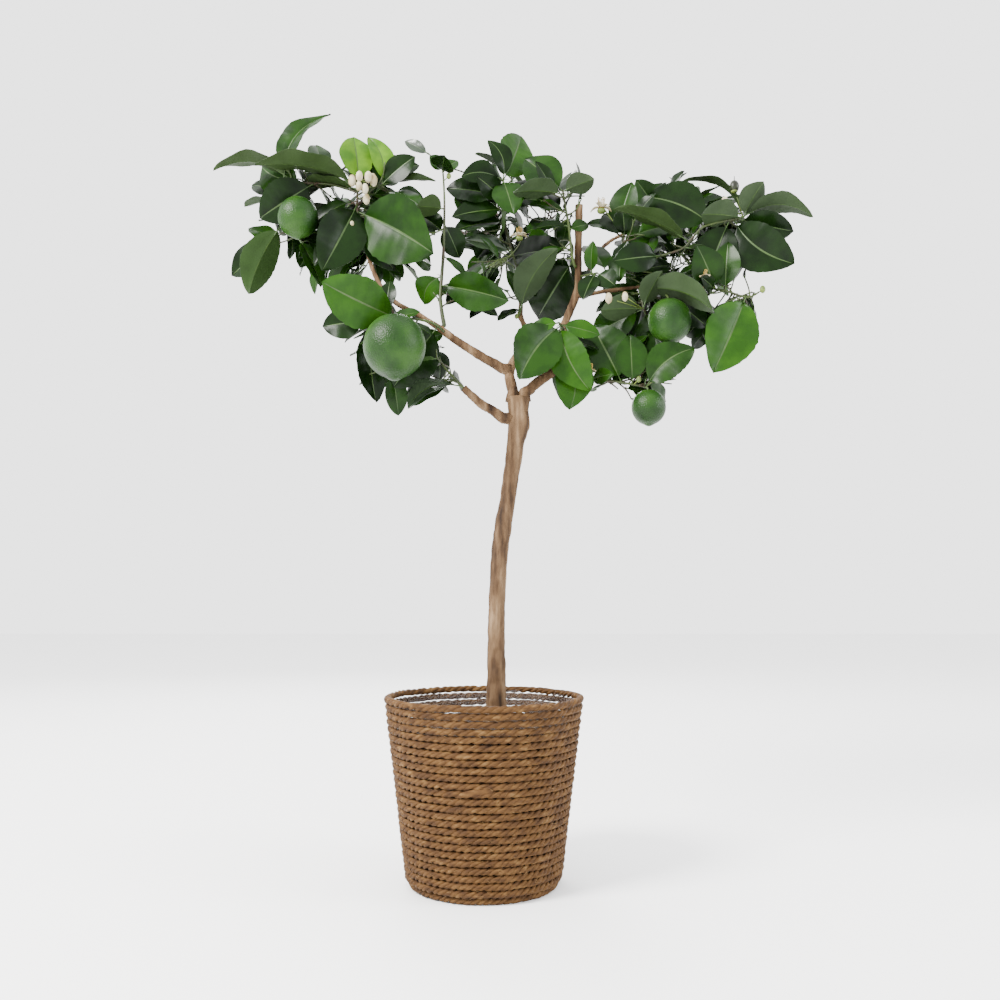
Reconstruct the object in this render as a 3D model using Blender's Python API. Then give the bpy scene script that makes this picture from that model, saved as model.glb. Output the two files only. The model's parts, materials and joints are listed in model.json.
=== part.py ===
"""A potted Persian lime tree in a rope basket, as separate closed solids.

Metres, +Z up. The origin is the middle of the basket's flat underside, and the
side that the tree is looked at from is -Y. Limbs are tapering tubes. A mass of
foliage is one solid: shoots that fork from one stem, with leaves, limes and
blossom fused on.

The crown is planned as a gardener would note it, standing in front of the tree:
how far each shoot and leaf reaches to the right, up and back, in millimetres as
they look from EYE. seen() turns such a note into a place in the crown, so the
outline and the open gaps stay as seen, whatever the depth. Behind that plan a
seeded rule grows the rest of the crown, where the front leaves hide it.
"""
import math
import random
from collections import namedtuple

import bmesh
import bpy
from mathutils import Matrix, Vector
from mathutils.bvhtree import BVHTree

MM = 0.001
GAP = 0.3 * MM

# Where the tree is looked at from: a little over a metre in front of the trunk.
EYE = Vector((0.017, -1.080, 0.306))

# The basket: rope laid in level courses, with a flat foot.
BASKET_HEIGHT = 0.195
BASKET_RIM_RADIUS = 0.1065
BASKET_FOOT_RADIUS = 0.0815
BASKET_CORNER = 0.010
BASKET_WALL = 0.0075
BASKET_FLOOR = 0.008
BASKET_SIDES = 36

# The liner that keeps the basket dry, and the soil that fills it.
LINER_WALL = 0.0012
LINER_RIM_BELOW_BASKET = 0.004
SOIL_LEVEL = 0.165

# The trunk: how far right its middle stands, how high, and its thickness, in mm.
TRUNK_COURSE = (
    (12.5, 165.3, 29.0),
    (13.0, 178.0, 22.5),
    (13.2, 215.0, 20.0),
    (13.0, 262.0, 18.2),
    (15.0, 322.0, 17.6),
    (20.0, 372.0, 18.6),
    (25.5, 405.0, 16.6),
    (34.0, 465.0, 18.6),
    (37.5, 486.0, 25.0),
    (37.0, 499.0, 22.0),
    (37.0, 516.0, 24.5),
)

# Leaf proportions, as shares of the leaf's length. An outline pair is how far along the
# leaf, and how wide as a share of its full width.
LEAF_STALK = 0.10
LEAF_WIDTH = 0.56
LEAF_OUTLINE = ((0.24, 0.70), (0.46, 1.0), (0.78, 0.76))
LEAF_THICKNESS = 0.022
LEAF_KEEL = 0.05
STALK_THICKNESS = 1.5 * MM

# A limb runs straight for this share of its first radius before it bends.
LIMB_STUB = 0.9
LIMB_SIDES = 7
TRUNK_SIDES = 12

GOLDEN_ANGLE = math.radians(137.5)
LEAF_TURN_ON_TWIG = math.radians(144.0)

# at: where on the shoot, from 0 at its root to 1 at its tip. right, up, back: reach in mm.
# turn: 0 shows the upper face to the front, 90 lays it level, 180 shows the underside.
# wide: width as a share of length. arch: bow of the midrib towards its upper face, and
# sweep: its bow to the left of its way as seen, both as shares of length.
Leaf = namedtuple("Leaf", "at right up back turn wide arch sweep", defaults=(LEAF_WIDTH, 0.06, 0.0))
# A lime hangs with its middle that far from its place on the shoot; size is its thickness in mm.
Lime = namedtuple("Lime", "at right up back size", defaults=(40.0,))
# A bud, bloom or fruitlet on a short stalk, with its thickness in mm.
Bud = namedtuple("Bud", "at right up back size", defaults=(8.0,))
# A shoot leaves another shoot, or the limb where parent is None, and grows by steps
# of (right, up, back). thick is its thickness in mm at its root and its tip.
Shoot = namedtuple("Shoot", "name parent at thick steps growth")
# A limb leaves another limb's side, or its tip where at is 1, there shifted to the right, and
# runs through its course of (right, up, back), in mm as seen from the front.
Limb = namedtuple("Limb", "name parent at thick course shift", defaults=(0.0,))

LIMBS = (
    Limb("bough_left_low", "trunk", 0.932, (11.4, 7.8), ((11, 500, -6), (-5, 510, -11), (-23, 526.5, -18)), -0.5),
    Limb("bough_centre", "trunk", 1.0, (12.2, 5.0),
         ((29.5, 529, 3), (27.5, 542, 5), (31, 555, 8), (41, 572, 18), (46, 590, 24), (38.5, 606, 27)), -6.1),
    Limb("bough_left_high", "bough_centre", 0.30, (10.6, 7.6), ((7, 555.5, 0), (-18, 570.5, -7), (-49, 592.5, -15))),
    Limb("bough_left_outer", "bough_left_high", 1.0, (6.0, 3.8),
         ((-74, 609, -22), (-98, 622, -12), (-118, 646, 0), (-128, 672, 8), (-135, 700, 10))),
    Limb("bough_right", "trunk", 1.0, (11.4, 8.8),
         ((50, 525, 2), (61, 535, 4), (71, 541, 6), (80, 550, 9), (86, 572, 16), (88, 594, 20)), 6.3),
    Limb("upright_stem", "bough_right", 1.0, (8.6, 8.2),
         ((96, 617, 22), (103, 638, 22), (103.5, 668, 21), (105, 733, 20))),
    Limb("bough_right_low", "bough_right", 0.52, (5.4, 4.0), ((92, 541, 4), (106, 537, 3))),
    Limb("bough_right_high", "upright_stem", 0.28, (4.8, 3.8), ((128, 634, 16), (150, 637, 13), (173, 640, 8))),
    Limb("bough_right_far", "bough_right_high", 1.0, (3.6, 3.0), ((200, 641, 5), (226, 640, 3), (250, 638, 2))),
    Limb("bough_back", "bough_centre", 0.66, (6.2, 4.4), ((45, 590, 54), (40, 607, 78), (40, 636, 92), (37, 664, 112))),
    Limb("bough_back_right", "upright_stem", 0.30, (5.6, 3.8),
         ((112, 645, 56), (120, 672, 88), (140, 692, 110), (160, 702, 124))),
)

PLAN = {
    "foliage_left_top": ("bough_left_outer", 1.0, (
        Shoot("leader", None, 1.0, (3.4, 2.2), ((-6, 22, -2), (-1, 24, -4), (2, 13, -4)), (
            Leaf(0.97, -7, 54, 14, 15, 0.64), Leaf(0.92, -116, 24, -22, 118, 0.42, 0.10),
            Leaf(0.86, -67, 2, 14, 114, 0.42, 0.06), Leaf(0.82, -62, -13, 20, 100, 0.28, 0.12),
            Leaf(0.42, 84, -47, -34, -8, 0.68, 0.06, 0.04), Leaf(0.58, -38, -76, -22, -5, 0.58),
            Leaf(0.13, 37, -50, 14, 20, 0.60), Bud(1.0, -8, 2, -12, 11), Bud(1.0, 0, 7, -14, 10),
            Bud(1.0, 10, 6, -12, 11), Bud(1.0, 16, 2, -8, 11), Bud(0.96, 0, -2, -20, 9),
            Bud(0.94, 7, -4, -18, 10), Bud(0.70, 10, -2, -10, 10), Bud(0.30, -8, -8, -10, 9))),
        Shoot("right spur", "leader", 0.74, (2.4, 2.0), ((14, 8, -4), (13, 4, -4)), (
            Leaf(1.0, -16, 55, 8, 20, 0.44, 0.06, -0.12), Leaf(1.0, 37, 33, -12, 30, 0.62),
            Leaf(0.80, 24, 36, 16, 20, 0.70), Leaf(1.0, 60, 4, 12, 60, 0.30, 0.08), Bud(0.5, 4, 12, -6, 10))),
        Shoot("outer", "leader", 0.80, (2.8, 2.0), ((-30, 9, 8), (-30, 2, 2), (-22, 3, -4)), (
            Leaf(1.0, 51, 76, 20, 50, 0.34, 0.04, 0.16), Leaf(0.90, -88, 12, -12, 118, 0.40, 0.20),
            Leaf(0.75, -46, 18, -18, 15, 0.62, 0.06, 0.10), Leaf(0.60, -60, -40, -6, 8, 0.68))),
        Shoot("hanging", "outer", 0.72, (2.2, 1.8), ((-18, -24, 6), (-6, -24, 2), (18, -16, 4)), (
            Leaf(0.68, -36, -80, -18, 165, 0.44, 0.04, -0.05), Leaf(1.0, 26, -55, -8, 40, 0.40),
            Lime(0.30, 7, -21, -28, 44))),
    )),
    "foliage_left_fruit": ("bough_left_high", 0.95, (
        Shoot("leader", None, 1.0, (3.2, 2.2), ((-12, 9, -14), (-24, 5, -6), (-32, -1, 6), (-16, -2, 4)), (
            Leaf(0.12, -48, -68, 16, 4, 0.66), Leaf(0.62, -86, 42, -22, -16, 0.64), Leaf(1.0, -49, -6, 4, 16, 0.72),
            Leaf(0.97, 8, -91, 8, 28, 0.44, 0.06, -0.06), Lime(0.50, -16, -31, -34, 64))),
        Shoot("behind the lime", "leader", 0.40, (2.2, 1.8), ((-14, -34, 18), (-14, -24, 6)), (
            Leaf(1.0, 8, -49, 2, 15, 0.52), Leaf(0.55, -34, -30, 26, 40, 0.50))),
    )),
    "foliage_left_low": ("bough_left_low", 1.0, (
        Shoot("leader", None, 1.0, (3.0, 2.0), ((-12, 13, -4), (-11, 13, 2), (-8, 17, 6)), (
            Leaf(0.04, -59, -25, -20, 60, 0.50, 0.0, -0.20), Leaf(1.0, -26, 22, 24, 30, 0.50),
            Leaf(0.80, -40, -8, 26, 50, 0.50))),
    )),
    "foliage_left_upright": ("bough_left_high", 0.985, (
        Shoot("leader", None, 1.0, (4.6, 2.0), ((-3, 32, 2), (3, 48, 4), (1, 60, 4), (-2, 38, 2)), (
            Leaf(0.26, 75, -17, -34, -12, 0.48, 0.06, 0.04), Leaf(0.32, -19, -32, 16, 10, 0.76, 0.06, -0.22),
            Leaf(0.45, 25, -25, -6, 60, 0.44), Leaf(0.66, 17, -40, 20, 15, 0.70), Leaf(0.60, -24, 18, 22, 20, 0.60),
            Leaf(0.75, -31, 3, -22, 150, 0.80), Leaf(1.0, -15, 17, -10, 30, 0.80), Leaf(0.99, 16, 13, 8, 40, 0.80),
            Leaf(1.0, 2, 18, 0, 20, 0.80), Bud(0.93, 6, 6, -4, 6))),
        Shoot("top spur", "leader", 1.0, (1.8, 1.4), ((-8, 12, 2), (-8, 7, 4)), (Leaf(1.0, -27, 15, 8, 20, 0.40),)),
    )),
    "foliage_centre_top": ("bough_centre", 1.0, (
        Shoot("leader", None, 1.0, (3.8, 2.0), ((4, 30, 6), (-13, 46, -6), (-8, 40, -8), (-1, 40, -8)), (
            Leaf(0.02, 42, 74, -44, 148, 0.48, 0.06, 0.08), Leaf(0.05, -25, -13, -16, 60, 0.50),
            Leaf(0.47, -54, 14, -14, 40, 0.36), Leaf(0.50, -34, 6, 14, 15, 0.44), Leaf(0.69, -58, -10, -24, 55, 0.46),
            Leaf(0.78, -58, -8, -8, 40, 0.52), Leaf(0.87, -64, 10, 12, 40, 0.56), Leaf(0.86, -30, 26, -24, 15, 0.62),
            Leaf(1.0, 12, -40, -22, 10, 0.66), Leaf(0.99, -47, 5, -16, 20, 0.56, 0.06, -0.14),
            Leaf(1.0, -17, 46, -8, 20, 0.50, 0.06, -0.16), Leaf(0.99, 20, 52, 14, -20, 0.62),
            Bud(0.58, 12, 4, -14, 16), Bud(0.04, -4, -6, -5, 5))),
        Shoot("front spur", "leader", 0.44, (2.2, 1.8), ((-14, -4, -22), (-14, -8, -12)), (
            Leaf(1.0, -3, -16, -46, 100, 0.50), Leaf(0.6, -22, 26, -20, 60, 0.44))),
    )),
    "foliage_upright": ("upright_stem", 0.50, (
        Shoot("leader", None, 1.0, (3.6, 2.2), ((-4, 12, -6), (-4, 36, -6), (-6, 38, -4)), (
            Leaf(1.0, -42, 37, 14, 28, 0.72), Leaf(0.96, -55, 2, -22, 132, 0.50), Leaf(1.0, 35, 14, -20, 155, 0.70),
            Leaf(0.72, -45, 10, 8, 58, 0.44), Leaf(0.55, -40, -4, -6, 50, 0.34), Leaf(0.22, -80, -12, 2, 55, 0.48),
            Leaf(0.30, -34, -54, 4, 15, 0.60), Leaf(0.10, -40, -66, 12, 10, 0.62), Leaf(0.50, 22, 6, 26, 30, 0.60))),
    )),
    "foliage_upright_right": ("upright_stem", 0.42, (
        Shoot("leader", None, 1.0, (2.8, 2.0), ((8, 2, -10), (10, 2, -8)), (
            Leaf(1.0, 20, -14, -12, 20, 0.90), Leaf(0.7, 2, 38, -10, 30, 0.50), Leaf(0.9, -14, -30, -14, 25, 0.60))),
    )),
    "foliage_centre_low": ("bough_right", 0.93, (
        Shoot("leader", None, 1.0, (3.4, 2.2), ((-1, 4, -18), (-4, 6, -14)), (
            Leaf(1.0, -33, -7, 4, 32, 0.50), Leaf(0.75, -46, -60, -24, 0, 0.62, 0.06, -0.08),
            Leaf(0.90, 33, -75, -30, -6, 0.52, 0.06, -0.08), Leaf(0.80, 43, -11, -2, 25, 0.50))),
        Shoot("lower spur", "leader", 0.35, (2.4, 2.0), ((-2, -22, -8), (-2, -10, -2)), (
            Leaf(1.0, 10, -58, -4, 10, 0.72, 0.06, 0.18), Leaf(0.8, 8, -20, -46, 60, 0.50))),
    )),
    "foliage_right_low": ("bough_right_low", 1.0, (
        Shoot("leader", None, 1.0, (3.4, 2.0), ((34, -3, -6), (24, -4, -4), (13, -3, -2)), (
            Leaf(0.62, -32, 64, 14, 8, 0.74), Leaf(0.78, -2, 56, 4, 10, 0.66), Leaf(0.16, 24, 6, -22, 20, 0.50),
            Leaf(1.0, 54, 44, -16, 12, 0.62, 0.06, 0.12), Leaf(0.97, 30, 42, 26, 30, 0.60, 0.06, 0.10),
            Lime(0.99, 3, -22, -6, 37), Bud(0.14, 0, 12, -10, 12), Bud(0.08, 1, 5, -14, 9),
            Bud(0.80, 6, 6, -6, 6), Bud(0.99, 10, 9, -4, 6))),
    )),
    "foliage_right_mid": ("bough_right_high", 0.97, (
        Shoot("leader", None, 1.0, (2.8, 2.0), ((2, -8, -4), (2, -15, -6)), (
            Leaf(1.0, -47, -2, -20, 150, 0.62), Leaf(0.95, 22, 42, -16, 142, 0.68),
            Leaf(0.02, 83, -27, -26, 138, 0.40, 0.0, 0.14), Leaf(1.0, -56, -30, 18, 15, 0.60),
            Leaf(1.0, 16, -44, 24, 10, 0.70), Bud(1.0, -38, 12, -20, 10), Bud(1.0, -20, 14, -16, 9))),
        Shoot("lime spur", "leader", 0.7, (2.4, 2.0), ((16, 10, 4), (12, -2, 0)), (
            Leaf(1.0, 44, -36, 12, 15, 0.50), Lime(0.9, 5, -29, -20, 47))),
    )),
    "foliage_right_top": ("upright_stem", 0.335, (
        Shoot("leader", None, 1.0, (3.2, 2.2),
              ((24, 6, -6), (24, 12, -4), (38, 18, -8), (28, 10, -6), (22, 24, -4), (44, 10, 2)), (
            Leaf(0.48, -54, -6, -18, 12, 0.56), Leaf(0.66, -84, 38, -20, 118, 0.42),
            Leaf(0.62, 38, -14, -16, 110, 0.56), Leaf(0.82, -72, 32, 10, 10, 0.64, 0.06, -0.08),
            Leaf(1.0, -66, 42, 18, 105, 0.30, 0.04, -0.18), Leaf(1.0, -46, 4, -24, 150, 0.62),
            Leaf(1.0, 24, 42, -16, 142, 0.80), Leaf(0.99, 80, 2, -14, 135, 0.42, 0.0, 0.20),
            Leaf(0.97, 62, -14, -6, -8, 0.56), Leaf(0.95, 66, -50, -16, 0, 0.62, 0.06, -0.12),
            Leaf(0.92, -28, -70, 8, 10, 0.68), Leaf(0.40, 4, 34, 24, 20, 0.45), Bud(1.0, -9, 36, -2, 15),
            Bud(1.0, -20, 19, -10, 9))),
        Shoot("inner spur", "leader", 0.20, (2.4, 2.0), ((6, 24, 4), (4, 22, 4)), (
            Leaf(1.0, -2, 34, -12, 20, 0.80), Leaf(0.8, 34, 16, 6, 30, 0.62), Leaf(1.0, -22, 26, 16, 30, 0.75),
            Bud(1.0, -25, 36, -8, 20))),
    )),
    "foliage_right_hanging": ("bough_right_far", 1.0, (
        Shoot("leader", None, 1.0, (2.8, 1.8), ((20, -4, -8), (20, -6, -8), (13, 6, 0)), (
            Leaf(0.72, -38, -86, -34, -10, 0.56), Leaf(0.10, -20, 50, 16, 15, 0.66), Leaf(0.30, 4, 56, 12, 15, 0.60),
            Leaf(0.06, -14, 14, -26, 20, 0.50), Bud(0.10, -12, 17, -16, 14), Bud(1.0, 4, 3, -4, 7))),
    )),
    "foliage_back_left": ("bough_left_outer", 0.86, (
        Shoot("leader", None, 1.0, (3.6, 2.2), ((2, 4, 40), (8, 10, 44), (10, 4, 40), (12, -8, 30)), ()),
        Shoot("outer arm", "leader", 0.40, (2.6, 2.0), ((-26, 6, 24), (-26, 4, 20)), ()),
    )),
    "foliage_back_centre": ("bough_back", 1.0, (
        Shoot("leader", None, 1.0, (4.0, 2.2), ((-8, 26, 20), (-14, 30, 20), (-10, 26, 14)), ()),
        Shoot("left arm", "leader", 0.30, (2.8, 2.0), ((-30, 8, 22), (-32, 6, 18)), ()),
        Shoot("right arm", "leader", 0.35, (2.8, 2.0), ((28, 12, 16), (26, 20, 10)), ()),
    )),
    "foliage_back_right": ("bough_back_right", 1.0, (
        Shoot("leader", None, 1.0, (3.4, 2.2), ((26, 8, 20), (34, 6, 18), (34, 2, 6)), ()),
        Shoot("lower arm", "leader", 0.30, (2.8, 2.0), ((20, -20, 18), (26, -26, 12)), ()),
        Shoot("lowest arm", "lower arm", 0.60, (2.6, 2.0), ((-10, -34, -8), (-8, -34, -10)), ()),
    )),
}

# How many side twigs the rule tries on each mass, and how they grow.
RULE_SEED = 41
RULE_TRIES = 60
RULE_LEAVES_PER_TWIG = 4
RULE_TWIG_LENGTH = (24.0, 52.0)
RULE_LEAF_LENGTH = (62.0, 90.0)
RULE_TWIG_THICKNESS = (2.0, 1.5)
SWINGS = (0, 8, -8, 16, -16, 24, -24, 34, -34, 46, -46, 60, -60)


def clear_scene():
    for thing in list(bpy.data.objects):
        bpy.data.objects.remove(thing, do_unlink=True)
    for mesh in list(bpy.data.meshes):
        bpy.data.meshes.remove(mesh)


def seen(flat):
    """The place at depth flat[2] that looks to be at (right, up) in the trunk's plane, in mm."""
    right, up, back = flat
    share = (back * MM - EYE.y) / -EYE.y
    x = EYE.x + (right * MM - EYE.x) * share
    z = EYE.z + (up * MM - EYE.z) * share
    return Vector((x, back * MM, z))


def add(a, b):
    return tuple(p + q for p, q in zip(a, b))


def principled(name, colour, roughness, metallic=0.0):
    material = bpy.data.materials.new(name)
    material.use_nodes = True
    shader = material.node_tree.nodes["Principled BSDF"]
    shader.inputs["Base Color"].default_value = (*colour, 1.0)
    shader.inputs["Roughness"].default_value = roughness
    shader.inputs["Metallic"].default_value = metallic
    return material


def solid(name, verts, faces, material=None, smooth=False):
    """A closed mesh object with its faces pointing out."""
    mesh = bpy.data.meshes.new(name)
    mesh.from_pydata([tuple(v) for v in verts], [], faces)
    work = bmesh.new()
    work.from_mesh(mesh)
    bmesh.ops.recalc_face_normals(work, faces=work.faces)
    work.to_mesh(mesh)
    work.free()
    if smooth:
        mesh.shade_smooth()
        mesh.set_sharp_from_angle(angle=math.radians(50))
    if material:
        mesh.materials.append(material)
    thing = bpy.data.objects.new(name, mesh)
    bpy.context.scene.collection.objects.link(thing)
    return thing


def smooth_course(points, steps):
    """Points along a curve through the given points, and how far along each one is, 0 to 1."""
    padded = [points[0] * 2 - points[1]] + list(points) + [points[-1] * 2 - points[-2]]
    course = []
    for i in range(1, len(padded) - 2):
        a, b, c, d = padded[i - 1:i + 3]
        for k in range(steps):
            t = k / steps
            course.append(0.5 * (2 * b + (c - a) * t + (2 * a - 5 * b + 4 * c - d) * t ** 2
                                 + (3 * b - a - 3 * c + d) * t ** 3))
    course.append(points[-1].copy())
    run = [0.0]
    for here, there in zip(course, course[1:]):
        run.append(run[-1] + (there - here).length)
    return course, [r / run[-1] for r in run]


def along(course, shares, at):
    """The point and the direction at a share of a course's length."""
    for i in range(len(course) - 1):
        if shares[i + 1] >= at or i == len(course) - 2:
            part = (at - shares[i]) / (shares[i + 1] - shares[i])
            return course[i].lerp(course[i + 1], part), (course[i + 1] - course[i]).normalized()


def tube(course, radii, sides):
    """Vertices and faces of a round tube with flat ends."""
    verts = []
    across = (course[1] - course[0]).orthogonal().normalized()
    for i, (point, radius) in enumerate(zip(course, radii)):
        ahead = course[min(i + 1, len(course) - 1)] - course[max(i - 1, 0)]
        ahead.normalize()
        across = (across - ahead * across.dot(ahead)).normalized()
        over = ahead.cross(across)
        for k in range(sides):
            angle = 2 * math.pi * k / sides
            verts.append(point + (across * math.cos(angle) + over * math.sin(angle)) * radius)
    faces = [tuple(reversed(range(sides)))]
    for i in range(len(course) - 1):
        for k in range(sides):
            a, b = i * sides + k, i * sides + (k + 1) % sides
            faces.append((a, b, b + sides, a + sides))
    last = (len(course) - 1) * sides
    faces.append(tuple(range(last, last + sides)))
    return verts, faces


def root_on(limb, at, towards):
    """Where a limb or stem starts, a hair clear of the limb that carries it, and its first heading."""
    course, shares, radii = limb
    point, heading = along(course, shares, at)
    if at >= 1.0:
        return course[-1] + heading * GAP, heading
    radius = radii[0] + (radii[-1] - radii[0]) * at
    for i in range(len(shares) - 1):
        if shares[i] <= at <= shares[i + 1]:
            part = (at - shares[i]) / (shares[i + 1] - shares[i])
            radius = radii[i] + (radii[i + 1] - radii[i]) * part
    out = towards - point
    out = (out - heading * out.dot(heading)).normalized()
    return point + out * (radius + GAP), out


def grow_limb(limb, grown):
    """Course, shares and radii of one tapering limb on the limb that carries it."""
    start, heading = root_on(grown[limb.parent], limb.at, seen(limb.course[0]))
    start.x += limb.shift * MM
    first, last = (t * MM / 2 for t in limb.thick)
    points = [start, start + heading * first * LIMB_STUB] + [seen(p) for p in limb.course]
    course, shares = smooth_course(points, 2)
    course[1] = start + heading * (course[1] - start).length
    return course, shares, [first + (last - first) * s for s in shares]


def leaf_frame(base, tip, turn):
    """The leaf's length, its direction, its sideways direction and its upper face's direction."""
    axis = tip - base
    length = axis.length
    axis.normalize()
    front = (EYE - base).normalized()
    face = (front - axis * front.dot(axis)).normalized()
    upward = 1 if axis.cross(face).z >= 0 else -1
    face = Matrix.Rotation(math.radians(turn) * upward, 3, axis) @ face
    return length, axis, axis.cross(face), face


def leaf_shape(base, tip, leaf):
    """Vertices and faces of a leaf: a stalk from base, then a blade keeled along its midrib."""
    length, axis, side, face = leaf_frame(base, tip, leaf.turn)
    half = length * leaf.wide / 2
    thick = max(length * LEAF_THICKNESS, 1.2 * MM)
    stalk = STALK_THICKNESS / 2
    leftward = axis.cross(Vector((0, 1, 0)))

    def on_rib(share):
        bow = 4 * share * (1 - share)
        return base + axis * length * share + (face * leaf.arch + leftward * leaf.sweep) * length * bow

    verts = []
    for share, wide, deep in ((0.0, stalk, stalk * 2), (LEAF_STALK, stalk, stalk * 2)):
        middle = on_rib(share)
        verts += [middle - side * wide, middle + face * deep / 2, middle + side * wide, middle - face * deep / 2]
    for share, wide in LEAF_OUTLINE:
        middle = on_rib(share)
        keel = face * LEAF_KEEL * length * wide
        verts += [middle - side * half * wide + keel, middle + face * thick / 2,
                  middle + side * half * wide + keel, middle - face * thick / 2]
    verts.append(on_rib(1.0))
    faces = [(3, 2, 1, 0)]
    for ring in range(1 + len(LEAF_OUTLINE)):
        for k in range(4):
            a, b = ring * 4 + k, ring * 4 + (k + 1) % 4
            faces.append((a, b, b + 4, a + 4))
    last = len(verts) - 1
    for k in range(4):
        faces.append((last - 4 + k, last - 4 + (k + 1) % 4, last))
    return verts, faces


def ball_shape(middle, across, tall, rings, sides):
    """Vertices and faces of a lime or a bud: a round body with a small point below."""
    verts = [middle + Vector((0, 0, tall / 2))]
    for i in range(1, rings):
        angle = math.pi * i / rings
        radius = across / 2 * math.sin(angle)
        for k in range(sides):
            turn = 2 * math.pi * k / sides
            spoke = Vector((math.cos(turn), math.sin(turn), 0))
            verts.append(middle + spoke * radius + Vector((0, 0, tall / 2 * math.cos(angle))))
    verts.append(middle - Vector((0, 0, tall / 2 * 1.06)))
    faces = [(0, 1 + k, 1 + (k + 1) % sides) for k in range(sides)]
    for i in range(rings - 2):
        for k in range(sides):
            a, b = 1 + i * sides + k, 1 + i * sides + (k + 1) % sides
            faces.append((a, a + sides, b + sides, b))
    last = len(verts) - 1
    faces += [(last, last - sides + (k + 1) % sides, last - sides + k) for k in range(sides)]
    return verts, faces


def tree_of(shape):
    return BVHTree.FromPolygons([tuple(v) for v in shape[0]], shape[1])


class Crown:
    """All that has grown so far, for keeping shoots and leaves off each other."""

    def __init__(self, limbs):
        self.limbs = limbs
        self.stems = []
        self.blades = []

    def free(self, whole, blade, mass, twig):
        """Whether a piece stays clear of other masses and the limbs, and its blade of its own mass too."""
        if any(whole.overlap(limb) for limb in self.limbs):
            return False
        for owner, name, stem in self.stems:
            if owner != mass and whole.overlap(stem):
                return False
            if owner == mass and name != twig and blade.overlap(stem):
                return False
        for owner, other_whole, other_blade in self.blades:
            if owner != mass and (whole.overlap(other_whole) or whole.overlap(other_blade)):
                return False
            if owner == mass and blade.overlap(other_blade):
                return False
        return True

    def keep(self, mass, whole, blade):
        self.blades.append((mass, whole, blade))

    def hidden(self, points, screen):
        """Whether the leaves of the plan hide every one of these points from the front."""
        for point in points:
            ray = point - EYE
            hit = screen.ray_cast(EYE, ray.normalized(), ray.length - 3 * MM)
            if hit[0] is None:
                return False
        return True


def blade_only(shape):
    """The blade without its stalk, a little thicker, so that what passes this test stays clear."""
    verts, faces = shape
    keep = verts[8:]
    swollen = []
    for i, v in enumerate(keep[:-1]):
        ring = keep[i - i % 4:i - i % 4 + 4]
        middle = sum(ring, Vector()) / 4
        swollen.append(v + (v - middle).normalized() * 0.6 * MM)
    swollen.append(keep[-1])
    first = [(3, 2, 1, 0)]
    rest = [tuple(i - 8 for i in face) for face in faces if min(face) >= 8]
    return swollen, first + rest


def flat_along(points, at):
    """A place on a shoot's plan, in mm as seen, at a share of its length."""
    runs = [math.dist(a, b) for a, b in zip(points, points[1:])]
    left = at * sum(runs)
    for a, b, run in zip(points, points[1:], runs):
        if left <= run + 1e-9:
            return tuple(p + (q - p) * left / run for p, q in zip(a, b))
        left -= run
    return points[-1]


def flat_of(point):
    """The plan's numbers for a place in the crown: what seen() undoes."""
    share = (point.y - EYE.y) / -EYE.y
    return ((EYE.x + (point.x - EYE.x) / share) / MM, (EYE.z + (point.z - EYE.z) / share) / MM, point.y / MM)


def grow_shoot(crown, mass, shoot, roots, limb):
    """One shoot's solid, and its plan for what grows on it."""
    if shoot.parent is None:
        at = PLAN[mass][1]
        carrier = flat_of(along(limb[0], limb[1], at)[0])
        start, heading = root_on(limb, at, seen(add(carrier, shoot.steps[0])))
        flat = [flat_of(start)]
        lead = [start, start + heading * shoot.thick[0] * MM * 0.6]
    else:
        flat = [flat_along(roots[shoot.parent], shoot.at)]
        lead = [seen(flat[0])]
    for step in shoot.steps:
        flat.append(add(flat[-1], step))
    course, shares = smooth_course(lead + [seen(f) for f in flat[1:]], 2)
    if shoot.parent is None:
        course[1] = start + heading * (course[1] - start).length
    first, last = (t * MM / 2 for t in shoot.thick)
    shape = tube(course, [first + (last - first) * s for s in shares], 5 if shoot.parent is None else 3)
    roots[shoot.name] = flat
    crown.stems.append((mass, shoot.name, tree_of(shape)))
    return shape


def grow_plan(crown, mass, grown):
    """The shapes of one mass that the plan names, and the shoots that the rule may grow on."""
    limb_name, _, shoots = PLAN[mass]
    shapes, roots = [], {}
    for shoot in shoots:
        shapes.append(grow_shoot(crown, mass, shoot, roots, grown[limb_name]))
    for shoot in shoots:
        for item in shoot.growth:
            if isinstance(item, Lime):
                shapes += grow_lime(crown, mass, roots[shoot.name], item)
    for shoot in shoots:
        for item in shoot.growth:
            if isinstance(item, Leaf):
                shapes += grow_leaf(crown, mass, shoot.name, roots[shoot.name], item)
            elif isinstance(item, Bud):
                shapes += grow_bud(crown, mass, shoot.name, roots[shoot.name], item)
    return shapes, roots


def grow_leaf(crown, mass, twig, flat, leaf):
    """A leaf that swings back or forward until it hangs free, or nothing."""
    root = flat_along(flat, leaf.at)
    for swing in SWINGS:
        tip = add(root, (leaf.right, leaf.up, leaf.back + swing))
        shape = leaf_shape(seen(root), seen(tip), leaf)
        whole, blade = tree_of(shape), tree_of(blade_only(shape))
        if crown.free(whole, blade, mass, twig):
            crown.keep(mass, whole, blade)
            return [shape]
    return []


def grow_lime(crown, mass, flat, lime):
    """A lime and the stalk that it hangs from."""
    root = flat_along(flat, lime.at)
    middle = seen(add(root, (lime.right, lime.up, lime.back)))
    size = lime.size * MM
    body = ball_shape(middle, size, size * 1.04, 7, 10)
    top = middle + Vector((0, 0, size * 0.46))
    course = [seen(root), seen(root).lerp(top, 0.5) + Vector((0, 0, size * 0.06)), top]
    crown.keep(mass, tree_of(body), tree_of(body))
    return [body, tube(course, [1.1 * MM, 1.0 * MM, 1.4 * MM], 4)]


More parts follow.
